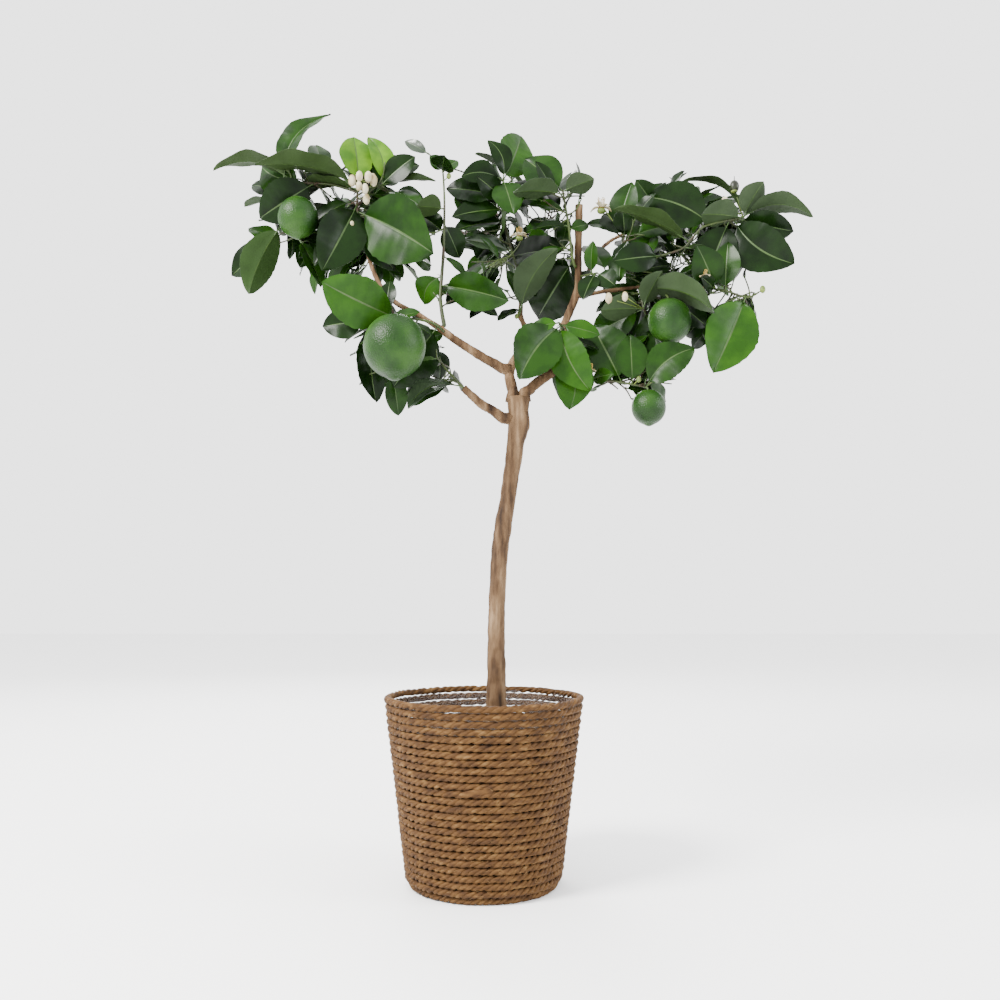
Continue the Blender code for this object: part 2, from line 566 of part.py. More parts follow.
def grow_bud(crown, mass, twig, flat, bud):
    """A bud or bloom and its short stalk, where it hangs free."""
    root = flat_along(flat, bud.at)
    middle = seen(add(root, (bud.right, bud.up, bud.back)))
    body = ball_shape(middle, bud.size * MM, bud.size * MM * 1.25, 3, 5)
    tree = tree_of(body)
    if not crown.free(tree, tree, mass, twig):
        return []
    crown.keep(mass, tree, tree)
    start = seen(root).lerp(middle, -0.08)
    return [body, tube([start, start.lerp(middle, 0.5), middle], [0.8 * MM] * 3, 3)]


def own_space(point, mass, middles):
    """Whether a place is nearer to this mass's middle than to any other's."""
    own = (point - middles[mass]).length
    return all(own <= (point - middle).length + 0.012 for middle in middles.values())


def grow_rule(crown, mass, roots, screen, middles, rng):
    """Side twigs with leaves in a spiral, where the plan's leaves hide them from the front."""
    shapes = []
    names = list(roots)
    for number in range(RULE_TRIES):
        parent = names[number % len(names)]
        at = 0.15 + 0.83 * rng.random()
        root = seen(flat_along(roots[parent], at))
        bearing = number * GOLDEN_ANGLE + rng.uniform(-0.3, 0.3)
        rise = math.radians(rng.uniform(-30, 62))
        heading = Vector((math.cos(bearing) * math.cos(rise), math.sin(bearing) * math.cos(rise), math.sin(rise)))
        length = rng.uniform(*RULE_TWIG_LENGTH) * MM
        bend = heading.orthogonal().normalized() * length * rng.uniform(-0.12, 0.12)
        end = root + heading * length
        course = [root, root + heading * length * 0.5 + bend, end]
        radii = [t * MM / 2 for t in (RULE_TWIG_THICKNESS[0], 1.8, RULE_TWIG_THICKNESS[1])]
        shape = tube(course, radii, 3)
        probe = tube([root.lerp(course[1], 0.25), course[1], end], [1.6 * MM] * 3, 3)
        twig = "rule %d" % number
        if not (own_space(end, mass, middles) and crown.hidden([course[1], end], screen)):
            continue
        if not crown.free(tree_of(probe), tree_of(probe), mass, parent):
            continue
        leaves = []
        side = heading.orthogonal().normalized()
        for k in range(RULE_LEAVES_PER_TWIG):
            share = 0.35 + 0.65 * k / (RULE_LEAVES_PER_TWIG - 1)
            turned = Matrix.Rotation(k * LEAF_TURN_ON_TWIG + rng.uniform(-0.3, 0.3), 3, heading) @ side
            spread = math.radians(rng.uniform(38, 70) if k < RULE_LEAVES_PER_TWIG - 1 else rng.uniform(5, 25))
            pointing = heading * math.cos(spread) + turned * math.sin(spread) - Vector((0, 0, 0.12))
            reach = rng.uniform(*RULE_LEAF_LENGTH) * MM
            base = root.lerp(course[1], share * 2) if share < 0.5 else course[1].lerp(end, share * 2 - 1)
            tip = base + pointing.normalized() * reach
            leaf = Leaf(share, 0, 0, 0, rng.uniform(50, 115), rng.uniform(0.46, 0.58))
            grown_leaf = leaf_shape(base, tip, leaf)
            test = blade_only(grown_leaf)
            if not (own_space(tip, mass, middles) and crown.hidden(test[0], screen)):
                continue
            whole, blade = tree_of(grown_leaf), tree_of(test)
            if crown.free(whole, blade, mass, twig):
                leaves.append(grown_leaf)
                crown.keep(mass, whole, blade)
        if leaves:
            crown.stems.append((mass, twig, tree_of(shape)))
            shapes += [shape] + leaves
    return shapes


def keep_largest(mesh):
    """Drop what a union leaves loose, or sealed inside: all but the largest closed shell."""
    work = bmesh.new()
    work.from_mesh(mesh)
    left = set(work.verts)
    shells = []
    while left:
        shell, edge = set(), [next(iter(left))]
        while edge:
            vert = edge.pop()
            if vert not in shell:
                shell.add(vert)
                edge += [link.other_vert(vert) for link in vert.link_edges]
        left -= shell
        shells.append(shell)
    shells.sort(key=len)
    for shell in shells[:-1]:
        bmesh.ops.delete(work, geom=list(shell), context="VERTS")
    work.to_mesh(mesh)
    work.free()


def fuse(name, shapes, material):
    """One solid from many shapes, by one Boolean union on a collection."""
    pieces = [solid("%s %d" % (name, i), *shape) for i, shape in enumerate(shapes)]
    group = bpy.data.collections.new(name + " pieces")
    for piece in pieces[1:]:
        bpy.context.scene.collection.objects.unlink(piece)
        group.objects.link(piece)
    bpy.context.scene.collection.children.link(group)
    union = pieces[0].modifiers.new("union", "BOOLEAN")
    union.operation = "UNION"
    union.operand_type = "COLLECTION"
    union.collection = group
    union.solver = "MANIFOLD"
    evaluated = pieces[0].evaluated_get(bpy.context.evaluated_depsgraph_get())
    mesh = bpy.data.meshes.new_from_object(evaluated)
    mesh.name = name
    keep_largest(mesh)
    for piece in pieces:
        bpy.data.objects.remove(piece, do_unlink=True)
    bpy.data.collections.remove(group)
    mesh.materials.clear()
    mesh.materials.append(material)
    thing = bpy.data.objects.new(name, mesh)
    bpy.context.scene.collection.objects.link(thing)
    return thing


def turned(name, profile, sides, material):
    """A solid turned about +Z from a closed outline of (radius, height), radius 0 where it meets the axis."""
    verts, rows = [], []
    for radius, height in profile:
        if radius < 1e-6:
            rows.append([len(verts)])
            verts.append((0, 0, height))
        else:
            rows.append(list(range(len(verts), len(verts) + sides)))
            for k in range(sides):
                angle = 2 * math.pi * k / sides
                verts.append((radius * math.cos(angle), radius * math.sin(angle), height))
    faces = []
    for low, high in zip(rows, rows[1:]):
        for k in range(sides):
            a, b = low[k % len(low)], low[(k + 1) % len(low)]
            c, d = high[(k + 1) % len(high)], high[k % len(high)]
            faces.append(tuple(dict.fromkeys((a, b, c, d))))
    return solid(name, verts, faces, material, smooth=True)


def basket_radius(height):
    return BASKET_FOOT_RADIUS + (BASKET_RIM_RADIUS - BASKET_FOOT_RADIUS) * height / BASKET_HEIGHT


def make_basket(material):
    """The rope basket: a flat foot with a round corner, flaring walls, a round rim and a floor."""
    profile = [(0, 0)]
    for k in range(4):
        angle = math.radians(90 * k / 3)
        radius = basket_radius(0) - BASKET_CORNER * (1 - math.sin(angle))
        profile.append((radius, BASKET_CORNER * (1 - math.cos(angle))))
    middle = basket_radius(BASKET_HEIGHT) - BASKET_WALL / 2
    for k in range(5):
        angle = math.radians(180 * k / 4)
        profile.append((middle + BASKET_WALL / 2 * math.cos(angle),
                        BASKET_HEIGHT - BASKET_WALL / 2 * (1 - math.sin(angle))))
    profile.append((basket_radius(BASKET_FLOOR) - BASKET_WALL - 0.002, BASKET_FLOOR))
    profile.append((0, BASKET_FLOOR))
    return turned("basket", profile, BASKET_SIDES, material)


def liner_radius(height):
    return basket_radius(height) - BASKET_WALL - 2 * GAP - 0.0012


def make_liner(material):
    """A thin liner standing in the basket, open at the top."""
    foot = BASKET_FLOOR + GAP
    rim = BASKET_HEIGHT - LINER_RIM_BELOW_BASKET
    profile = [(0, foot), (liner_radius(foot) - 0.004, foot), (liner_radius(foot), foot + 0.004),
               (liner_radius(rim), rim), (liner_radius(rim) - LINER_WALL, rim),
               (liner_radius(foot) - LINER_WALL, foot + 0.006),
               (liner_radius(foot) - LINER_WALL - 0.004, foot + LINER_WALL), (0, foot + LINER_WALL)]
    return turned("liner", profile, BASKET_SIDES, material)


def make_soil(material):
    """The soil that fills the liner up to its level."""
    foot = BASKET_FLOOR + LINER_WALL + 2 * GAP
    inset = LINER_WALL + GAP
    profile = [(0, foot), (liner_radius(foot) - inset - 0.007, foot),
               (liner_radius(foot + 0.008) - inset - 0.0006, foot + 0.008),
               (liner_radius(SOIL_LEVEL) - inset, SOIL_LEVEL), (0, SOIL_LEVEL)]
    return turned("soil", profile, BASKET_SIDES, material)


def make_limbs(material):
    """The trunk and the boughs, and their courses for what grows on them."""
    points = [Vector((right * MM, 0, up * MM)) for right, up, _ in TRUNK_COURSE]
    points[0].x = points[1].x
    course, shares = smooth_course(points, 2)
    widths = [thick * MM / 2 for _, _, thick in TRUNK_COURSE]
    radii = []
    for i in range(len(course)):
        low = min(i // 2, len(widths) - 2)
        radii.append(widths[low] + (widths[low + 1] - widths[low]) * (i / 2 - low))
    grown = {"trunk": (course, shares, radii)}
    trunk = tube(course, radii, TRUNK_SIDES)
    for v in trunk[0][:TRUNK_SIDES]:
        v.z = SOIL_LEVEL + GAP
    limbs = [("trunk", trunk)]
    for limb in LIMBS:
        grown[limb.name] = grow_limb(limb, grown)
        limbs.append((limb.name, tube(grown[limb.name][0], grown[limb.name][2], LIMB_SIDES)))
    for name, shape in limbs:
        solid(name, *shape, material, smooth=True)
    return grown, limbs


def make_crown(grown, limbs, material):
    """Every mass of foliage: first the plan of each, then what the rule adds behind it."""
    crown = Crown([tree_of(shape) for _, shape in limbs])
    shapes, roots, middles = {}, {}, {}
    for mass in PLAN:
        shapes[mass], roots[mass] = grow_plan(crown, mass, grown)
        points = [v for shape in shapes[mass] for v in shape[0]]
        middles[mass] = sum(points, Vector()) / len(points)
    verts, faces = [], []
    for mass in PLAN:
        for shape in shapes[mass]:
            faces += [tuple(i + len(verts) for i in face) for face in shape[1]]
            verts += [tuple(v) for v in shape[0]]
    screen = BVHTree.FromPolygons(verts, faces)
    rng = random.Random(RULE_SEED)
    for mass in PLAN:
        shapes[mass] += grow_rule(crown, mass, roots[mass], screen, middles, rng)
    for mass in PLAN:
        fuse(mass, shapes[mass], material)


def build():
    clear_scene()
    rope = principled("seagrass_rope", (0.36, 0.23, 0.11), 0.85)
    film = principled("liner_film", (0.72, 0.70, 0.68), 0.35)
    earth = principled("potting_soil", (0.055, 0.035, 0.022), 0.95)
    bark = principled("bark", (0.36, 0.24, 0.16), 0.80)
    leaf = principled("lime_foliage", (0.07, 0.16, 0.03), 0.40)
    make_basket(rope)
    make_liner(film)
    make_soil(earth)
    grown, limbs = make_limbs(bark)
    make_crown(grown, limbs, leaf)


build()
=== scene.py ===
# %% [markdown]
# # A potted lime tree, dressed on its frame
# The frame holds plain solids of a small Persian lime tree: a rope basket with its liner and soil,
# a trunk, boughs, and masses of foliage. This script gives each of them its finished surface.
# It first loads that frame.

# %% The frame
import json
import math
import random
from collections import namedtuple

import bpy
from mathutils import Matrix, Vector, noise
from mathutils.bvhtree import BVHTree

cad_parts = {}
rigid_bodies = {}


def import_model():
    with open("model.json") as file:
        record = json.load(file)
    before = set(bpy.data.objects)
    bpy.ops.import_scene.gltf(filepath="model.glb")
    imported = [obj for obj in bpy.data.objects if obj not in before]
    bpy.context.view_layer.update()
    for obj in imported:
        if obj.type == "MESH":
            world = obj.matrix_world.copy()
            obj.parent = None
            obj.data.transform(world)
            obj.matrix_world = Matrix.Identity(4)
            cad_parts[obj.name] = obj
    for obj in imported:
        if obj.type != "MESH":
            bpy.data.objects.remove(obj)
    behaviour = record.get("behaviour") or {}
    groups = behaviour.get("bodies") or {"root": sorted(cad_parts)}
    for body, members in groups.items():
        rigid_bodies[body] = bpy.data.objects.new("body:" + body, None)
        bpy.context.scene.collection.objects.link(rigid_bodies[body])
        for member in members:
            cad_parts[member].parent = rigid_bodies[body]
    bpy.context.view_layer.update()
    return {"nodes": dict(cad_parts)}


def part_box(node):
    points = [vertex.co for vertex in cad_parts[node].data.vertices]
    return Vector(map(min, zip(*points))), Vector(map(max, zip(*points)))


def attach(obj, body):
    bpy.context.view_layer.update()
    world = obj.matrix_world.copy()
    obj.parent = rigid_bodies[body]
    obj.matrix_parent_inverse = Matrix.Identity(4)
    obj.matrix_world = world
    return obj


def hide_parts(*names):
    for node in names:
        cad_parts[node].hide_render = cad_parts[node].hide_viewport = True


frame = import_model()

print("nodes in the frame:", len(frame["nodes"]))

# %% [markdown]
# ## The camera
# A tree like this is photographed from a little over a metre away, at the height of its trunk,
# with the camera tipped up a few degrees to take in the crown. A 36 mm lens on a 36 mm wide film
# sees one metre at one metre, which makes places easy to work out.

# %% The camera
MM = 0.001
EYE = Vector((0.017, -1.080, 0.306))
CAMERA_TIP = math.radians(5.143)

camera_data = bpy.data.cameras.new("camera")
camera_data.lens = 36.0
camera_data.sensor_width = 36.0
camera = bpy.data.objects.new("camera", camera_data)
camera.location = EYE
camera.rotation_euler = (math.radians(90) + CAMERA_TIP, 0, 0)
bpy.context.scene.collection.objects.link(camera)
bpy.context.scene.camera = camera

# %% [markdown]
# ## The studio
# Glossy leaves show what is round them, so the light matters as much as the leaf. A large soft
# light high on the left gives the long highlights, a weaker one on the right opens the shadows,
# and a pale floor and a bright world give the white ground of a shop photograph.

# %% The studio
FLOOR_SIZE = 12.0
WORLD_BRIGHTNESS = 3.0


def soft_light(name, place, aim, size, power, colour):
    lamp = bpy.data.lights.new(name, "AREA")
    lamp.shape = "DISK"
    lamp.size = size
    lamp.energy = power
    lamp.color = colour
    thing = bpy.data.objects.new(name, lamp)
    thing.location = place
    thing.rotation_euler = (Vector(aim) - Vector(place)).to_track_quat("-Z", "Y").to_euler()
    bpy.context.scene.collection.objects.link(thing)


world = bpy.data.worlds.new("studio")
world.use_nodes = True
world.node_tree.nodes["Background"].inputs["Color"].default_value = (1.0, 1.0, 1.0, 1.0)
world.node_tree.nodes["Background"].inputs["Strength"].default_value = WORLD_BRIGHTNESS
bpy.context.scene.world = world
soft_light("window", (-1.7, -1.3, 2.0), (0, 0, 0.55), 1.0, 230, (1.0, 0.98, 0.95))
soft_light("side", (2.0, -0.6, 1.1), (0, 0, 0.40), 0.9, 40, (0.96, 0.98, 1.0))
soft_light("back", (-0.5, 1.9, 1.7), (0, 0, 0.60), 1.2, 50, (1.0, 1.0, 1.0))

# %% [markdown]
# ## Making pieces and finishes
# Every piece below is a mesh made from vertices and faces, so one small function makes the object,
# gives it its material, and lets it ride on the tree. Finishes are made by nodes: a base colour
# that wanders between a few shades, and a fine relief that the light catches.

# %% Helpers for pieces
def piece(name, verts, faces, materials, slot, smooth=True, face_slots=None):
    """A mesh piece that rides on the tree, with its materials; the slot argument is not used."""
    mesh = bpy.data.meshes.new(name)
    mesh.from_pydata([tuple(v) for v in verts], [], faces)
    for material in materials:
        mesh.materials.append(material)
    if face_slots:
        mesh.polygons.foreach_set("material_index", face_slots)
    if smooth:
        mesh.shade_smooth()
    thing = bpy.data.objects.new(name, mesh)
    bpy.context.scene.collection.objects.link(thing)
    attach(thing, "root")
    triangles = sum(len(f) - 2 for f in faces)
    print(name, "triangles:", triangles)
    return thing


def merge(shapes):
    """One list of vertices and one of faces from many shapes."""
    verts, faces = [], []
    for shape_verts, shape_faces in shapes:
        faces += [tuple(i + len(verts) for i in face) for face in shape_faces]
        verts += [tuple(v) for v in shape_verts]
    return verts, faces


# %% Helpers for finishes
def surface(name, colour, roughness, shine=0.3):
    material = bpy.data.materials.new(name)
    material.use_nodes = True
    tree = material.node_tree
    shader = tree.nodes["Principled BSDF"]
    shader.inputs["Base Color"].default_value = (*colour, 1.0)
    shader.inputs["Roughness"].default_value = roughness
    shader.inputs["Specular IOR Level"].default_value = shine
    return material, tree, shader


def grain(tree, scale, stretch=(1, 1, 1), detail=6.0, source="Object"):
    """A noise in the piece's own space, drawn out by stretch."""
    place = tree.nodes.new("ShaderNodeTexCoord")
    mapping = tree.nodes.new("ShaderNodeMapping")
    mapping.inputs["Scale"].default_value = stretch
    fine = tree.nodes.new("ShaderNodeTexNoise")
    fine.inputs["Scale"].default_value = scale
    fine.inputs["Detail"].default_value = detail
    tree.links.new(place.outputs[source], mapping.inputs["Vector"])
    tree.links.new(mapping.outputs["Vector"], fine.inputs["Vector"])
    return fine.outputs["Fac"]


def coloured(tree, shader, value, colours, low=0.32, high=0.68):
    """Base colour from a value, through a ramp of colours."""
    ramp = tree.nodes.new("ShaderNodeValToRGB")
    elements = ramp.color_ramp.elements
    while len(elements) < len(colours):
        elements.new(0.5)
    for i, colour in enumerate(colours):
        elements[i].position = low + (high - low) * i / (len(colours) - 1)
        elements[i].color = (*colour, 1.0)
    tree.links.new(value, ramp.inputs["Fac"])
    tree.links.new(ramp.outputs["Color"], shader.inputs["Base Color"])


def raised(tree, shader, value, strength, height):
    """A relief from a value; height is in metres."""
    bump = tree.nodes.new("ShaderNodeBump")
    bump.inputs["Strength"].default_value = strength
    bump.inputs["Distance"].default_value = height
    tree.links.new(value, bump.inputs["Height"])
    tree.links.new(bump.outputs["Normal"], shader.inputs["Normal"])


# %% The floor
floor_material, floor_tree, floor_shader = surface("studio_floor", (0.90, 0.90, 0.90), 0.85)
raised(floor_tree, floor_shader, grain(floor_tree, 30.0), 0.05, 0.0005)
half = FLOOR_SIZE / 2
floor_mesh = bpy.data.meshes.new("floor")
floor_mesh.from_pydata([(-half, -half, 0), (half, -half, 0), (half, half, 0),
    (-half, half, 0)], [], [(0, 1, 2, 3)])
floor_mesh.materials.append(floor_material)
floor = bpy.data.objects.new("floor", floor_mesh)
bpy.context.scene.collection.objects.link(floor)

# %% [markdown]
# ## The rope basket
# The basket is seagrass rope laid in level courses and sewn one on the other. Each rope is three
# strands twisted round each other, so its surface is a row of slanting bulges. Three tubes that
# wind round the middle line of each course give just that, with real gaps between them. The twist,
# the thickness and the level wander a little, as in handwork.

# %% The rope basket's sizes
BASKET_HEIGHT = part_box("basket")[1].z
BASKET_RIM_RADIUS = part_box("basket")[1].x
BASKET_FOOT_RADIUS = 0.0815
COURSES = 26
COURSE_PITCH = BASKET_HEIGHT / COURSES
STRANDS = 3
STRAND_RADIUS = COURSE_PITCH * 0.295
STRAND_OFFSET = COURSE_PITCH * 0.215
TWISTS_PER_COURSE = 24
STRAND_STEPS = 312
STRAND_SIDES = 6
FOOT_ROUNDING = 3.0 * MM


def basket_radius(height):
    return BASKET_FOOT_RADIUS + (BASKET_RIM_RADIUS - BASKET_FOOT_RADIUS) * height / BASKET_HEIGHT


def wander(a, b, seed):
    """A smooth random value from -1 to 1 that closes on itself round the basket."""
    return noise.noise(Vector((math.cos(a) * b, math.sin(a) * b, seed * 7.31)))


# %% One strand of rope
def strand(radius_at, height_at, phase, seed, slope=1.0):
    """A closed tube that winds round a level course; slope under 1 lays it flatter."""
    verts, faces = [], []
    for i in range(STRAND_STEPS):
        angle = 2 * math.pi * i / STRAND_STEPS
        twist = phase + TWISTS_PER_COURSE * angle + 0.9 * wander(angle, 5.0, seed)
        thick = STRAND_RADIUS * (1 + 0.16 * wander(angle, 9.0, seed + 3) + 0.10 * wander(angle, 24.0,
            seed + 5))
        out = radius_at(angle) + STRAND_OFFSET * math.cos(twist)
        up = height_at(angle) + STRAND_OFFSET * slope * math.sin(twist)
        middle = Vector((out * math.cos(angle), out * math.sin(angle), up))
        outward = Vector((math.cos(angle), math.sin(angle), 0))
        for k in range(STRAND_SIDES):
            turn = 2 * math.pi * k / STRAND_SIDES
            swell = thick * (1 + 0.07 * math.sin(3 * turn + 11 * angle))
            verts.append(middle + outward * swell * math.cos(turn) + Vector((0, 0,
                swell * math.sin(turn) * 1.05)))
    for i in range(STRAND_STEPS):
        for k in range(STRAND_SIDES):
            a = i * STRAND_SIDES + k
            b = i * STRAND_SIDES + (k + 1) % STRAND_SIDES
            c = (i + 1) % STRAND_STEPS * STRAND_SIDES + (k + 1) % STRAND_SIDES
            d = (i + 1) % STRAND_STEPS * STRAND_SIDES + k
            faces.append((a, d, c, b))
    return verts, faces


# %% [markdown]
# The strands' own fibres run along them, which a noise drawn out round the basket shows well enough.
# The rope is warm brown with paler worn bulges and dark hollows. The hollows come from the light
# between the strands, and the wandering colour from the grass itself.

# %% The rope's finish
rope_material, rope_tree, rope_shader = surface("seagrass_rope", (0.05, 0.022, 0.006), 0.78, 0.2)
rope_grain = grain(rope_tree, 85.0, (1, 1, 2.4), 9.0)
coloured(rope_tree, rope_shader, rope_grain,
         ((0.022, 0.0085, 0.0018), (0.042, 0.0175, 0.0036), (0.070, 0.0315, 0.0074),
         (0.125, 0.067, 0.0215)), 0.24, 0.74)
raised(rope_tree, rope_shader, grain(rope_tree, 900.0, (1, 1, 2.5), 4.0), 0.55, 0.0006)

# %% Courses, from the foot to the rim
rope_shapes = {"low": [], "high": []}
for course_number in range(COURSES):
    level = (course_number + 0.5) * COURSE_PITCH
    tuck = FOOT_ROUNDING if course_number == 0 else 0.0
    last = course_number == COURSES - 1

    def course_radius(angle, level=level, tuck=tuck, number=course_number):
        return basket_radius(level) - tuck - COURSE_PITCH * 0.5 + 0.5 * MM * wander(angle, 3.0, number + 40)

    def course_height(angle, level=level, number=course_number, last=last):
        wave = 0.9 if last else 0.35
        lowest = COURSE_PITCH * 0.56 if number == 0 else 0
        return max(level + wave * MM * wander(angle, 2.5, number + 80), lowest)

    wall_part = "low" if course_number < COURSES // 2 else "high"
    for k in range(STRANDS):
        phase = 1.7 * course_number + 2 * math.pi * k / STRANDS
        rope_shapes[wall_part].append(strand(course_radius, course_height, phase, course_number + k * 0.37))
walls = piece("basket_rope_low", *merge(rope_shapes["low"]), [rope_material], "rope")
piece("basket_rope_high", *merge(rope_shapes["high"]), [rope_material], "rope")
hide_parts("basket")

# %% [markdown]
# The floor of the basket is the same rope wound in rings, so the underside has something real to
# show. Loose fibres stand off the rope all over. They are thin slivers, a few millimetres long,
# with a root in a strand.

# %% The basket's floor
floor_shapes = []
ring_radius = basket_radius(0) - FOOT_ROUNDING - COURSE_PITCH * 1.4
while ring_radius > COURSE_PITCH:
    def ring_at(angle, radius=ring_radius):
        return radius

    def ring_level(angle):
        return COURSE_PITCH * 0.57

    for k in range(STRANDS):
        phase = 2 * math.pi * k / STRANDS + ring_radius * 300
        floor_shapes.append(strand(ring_at, ring_level, phase, ring_radius * 999))
    ring_radius -= COURSE_PITCH * 0.95
piece("basket_rope_floor", *merge(floor_shapes), [rope_material], "rope")

# %% One wide flat strand
FLAT_STRAND_LEVEL = 0.111
flat_middle = Vector((-6.0 * MM, -(basket_radius(FLAT_STRAND_LEVEL) - 1.6 * MM), FLAT_STRAND_LEVEL))
flat_half = Vector((17 * MM, 1.5 * MM, 3.6 * MM))
flat_rise = math.radians(7)
flat_verts, flat_faces = [], []
for i in range(1, 12):
    angle = math.pi * i / 12
    for k in range(14):
        turn = 2 * math.pi * k / 14
        along_it = math.cos(angle) * flat_half.x
        up_it = math.sin(angle) * math.sin(turn) * flat_half.z
        out_it = math.sin(angle) * math.cos(turn) * flat_half.y
        flat_verts.append(flat_middle + Vector((along_it, out_it, up_it + along_it * math.tan(flat_rise))))
for i in range(10):
    for k in range(14):
        flat_faces.append((i * 14 + k, (i + 1) * 14 + k, (i + 1) * 14 + (k + 1) % 14, i * 14 + (k + 1) % 14))
flat_faces.append(tuple(range(14)))
flat_faces.append(tuple(reversed(range(140, 154))))
piece("basket_flat_strand", flat_verts, flat_faces, [rope_material], "rope")

# %% Loose fibres
FIBRES = 1500
fibre_rng = random.Random(7)
fibre_shapes = []
for _ in range(FIBRES):
    angle = fibre_rng.uniform(0, 2 * math.pi)
    level = fibre_rng.uniform(0.006, BASKET_HEIGHT - 0.002)
    outward = Vector((math.cos(angle), math.sin(angle), 0))
    onward = Vector((-math.sin(angle), math.cos(angle), 0))
    root = outward * (basket_radius(level) - 0.7 * MM) + Vector((0, 0, level))
    reach = fibre_rng.uniform(2.0, 7.0) * MM
    lean = (onward * fibre_rng.uniform(-1, 1) + Vector((0, 0, fibre_rng.uniform(-0.5, 0.7)))).normalized()
    tip = root + lean * reach + outward * fibre_rng.uniform(0.1, 1.6) * MM
    width = 0.09 * MM
    belly = root.lerp(tip, 0.5) + outward * 0.5 * MM
    fibre_shapes.append(([root + Vector((0, 0, width)), root - Vector((0, 0, width)), root + outward * width,
                          belly + Vector((0, 0, width)), belly - Vector((0, 0, width)),
                              belly + outward * width, tip],
                         [(0, 2, 1), (0, 1, 4, 3), (1, 2, 5, 4), (2, 0, 3, 5), (3, 4, 6), (4, 5, 6),
                             (5, 3, 6)]))
fibre_material, fibre_tree, fibre_shader = surface("loose_fibre", (0.52, 0.37, 0.20), 0.7)
coloured(fibre_tree, fibre_shader, grain(fibre_tree, 60.0), ((0.09, 0.045, 0.014), (0.26, 0.16, 0.065)))
piece("basket_fibres", *merge(fibre_shapes), [fibre_material], "rope", smooth=False)

# %% [markdown]
# ## The liner and the soil
# A thin film keeps the basket dry. It shows as a crinkled, nearly clear edge just inside the rim,
# so it is one wavy band with a little thickness. The soil below is crumbs of peat: a disc whose
# points are lifted by two sizes of noise.

# %% The liner
LINER_STEPS = 180
LINER_ROWS = 10
LINER_BOTTOM = 0.150
liner_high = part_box("liner")[1]
liner_material, liner_tree, liner_shader = surface("liner_film", (0.10, 0.085, 0.080), 0.5, 0.06)
liner_shader.inputs["Alpha"].default_value = 0.20
raised(liner_tree, liner_shader, grain(liner_tree, 120.0), 0.6, 0.0008)


def liner_band(inward):
    rows = []
    for row in range(LINER_ROWS + 1):
        share = row / LINER_ROWS
        for i in range(LINER_STEPS):
            angle = 2 * math.pi * i / LINER_STEPS
            level = LINER_BOTTOM + (liner_high.z - LINER_BOTTOM) * share
            level += share * 3.0 * MM * (wander(angle, 6.0, 5) - 0.7)
            crinkle = 1.5 * MM * share * wander(angle, 14.0, 9 + row * 0.05)
            radius = basket_radius(level) - COURSE_PITCH * 1.12 - inward + crinkle
            rows.append(Vector((radius * math.cos(angle), radius * math.sin(angle), level)))
    return rows


outer_band = liner_band(0.0)
inner_band = liner_band(0.25 * MM)
liner_verts = outer_band + inner_band
liner_faces = []
for row in range(LINER_ROWS):
    for i in range(LINER_STEPS):
        a = row * LINER_STEPS + i
        b = row * LINER_STEPS + (i + 1) % LINER_STEPS
        shift = len(outer_band)
        liner_faces.append((a, b, b + LINER_STEPS, a + LINER_STEPS))
        liner_faces.append((a + shift, a + LINER_STEPS + shift, b + LINER_STEPS + shift, b + shift))
for i in range(LINER_STEPS):
    j = (i + 1) % LINER_STEPS
    top = LINER_ROWS * LINER_STEPS
    shift = len(outer_band)
    liner_faces.append((j, i, i + shift, j + shift))
    liner_faces.append((top + i, top + j, top + j + shift, top + i + shift))
liner = piece("liner_film", liner_verts, liner_faces, [liner_material], "liner")
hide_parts("liner")

# %% The soil
SOIL_RINGS = 46
SOIL_STEPS = 160
soil_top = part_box("soil")[1].z
soil_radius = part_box("soil")[1].x - 0.5 * MM
soil_material, soil_tree, soil_shader = surface("potting_soil", (0.045, 0.028, 0.018), 0.95)
coloured(soil_tree, soil_shader, grain(soil_tree, 240.0, detail=8.0),
         ((0.007, 0.004, 0.003), (0.026, 0.015, 0.009), (0.075, 0.048, 0.03)))
raised(soil_tree, soil_shader, grain(soil_tree, 500.0), 0.8, 0.001)
soil_verts = [Vector((0, 0, soil_top))]
for ring in range(1, SOIL_RINGS + 1):
    for i in range(SOIL_STEPS):
        angle = 2 * math.pi * i / SOIL_STEPS
        radius = soil_radius * ring / SOIL_RINGS
        spot = Vector((radius * math.cos(angle), radius * math.sin(angle), 0))
        lift = 1.6 * MM * noise.noise(spot * 90) + 1.0 * MM * noise.noise(spot * 420)
        soil_verts.append(spot + Vector((0, 0, soil_top - 1.0 * MM + lift)))
skirt = len(soil_verts)
skirt_level = 0.014
skirt_radius = basket_radius(skirt_level) - COURSE_PITCH * 1.4
for i in range(SOIL_STEPS):
    angle = 2 * math.pi * i / SOIL_STEPS
    soil_verts.append(Vector((skirt_radius * math.cos(angle), skirt_radius * math.sin(angle), skirt_level)))
soil_faces = [(0, 1 + i, 1 + (i + 1) % SOIL_STEPS) for i in range(SOIL_STEPS)]
for ring in range(SOIL_RINGS):
    for i in range(SOIL_STEPS):
        a = 1 + ring * SOIL_STEPS + i
        b = 1 + ring * SOIL_STEPS + (i + 1) % SOIL_STEPS
        soil_faces.append((a, a + SOIL_STEPS, b + SOIL_STEPS, b))
soil_faces.append(tuple(skirt + i for i in reversed(range(SOIL_STEPS))))
soil = piece("soil_crumbs", soil_verts, soil_faces, [soil_material], "soil")
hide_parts("soil")

# %% [markdown]
# ## How the tree grows
# The trunk, the boughs and the crown follow the same notes and the same seeded rule as the solids
# in the frame, written again here, so every leaf hangs where its solid is. The notes say how far
# each limb, shoot and leaf reaches to the right, up and back, in millimetres as they look from the
# camera. One function turns a note into a place.

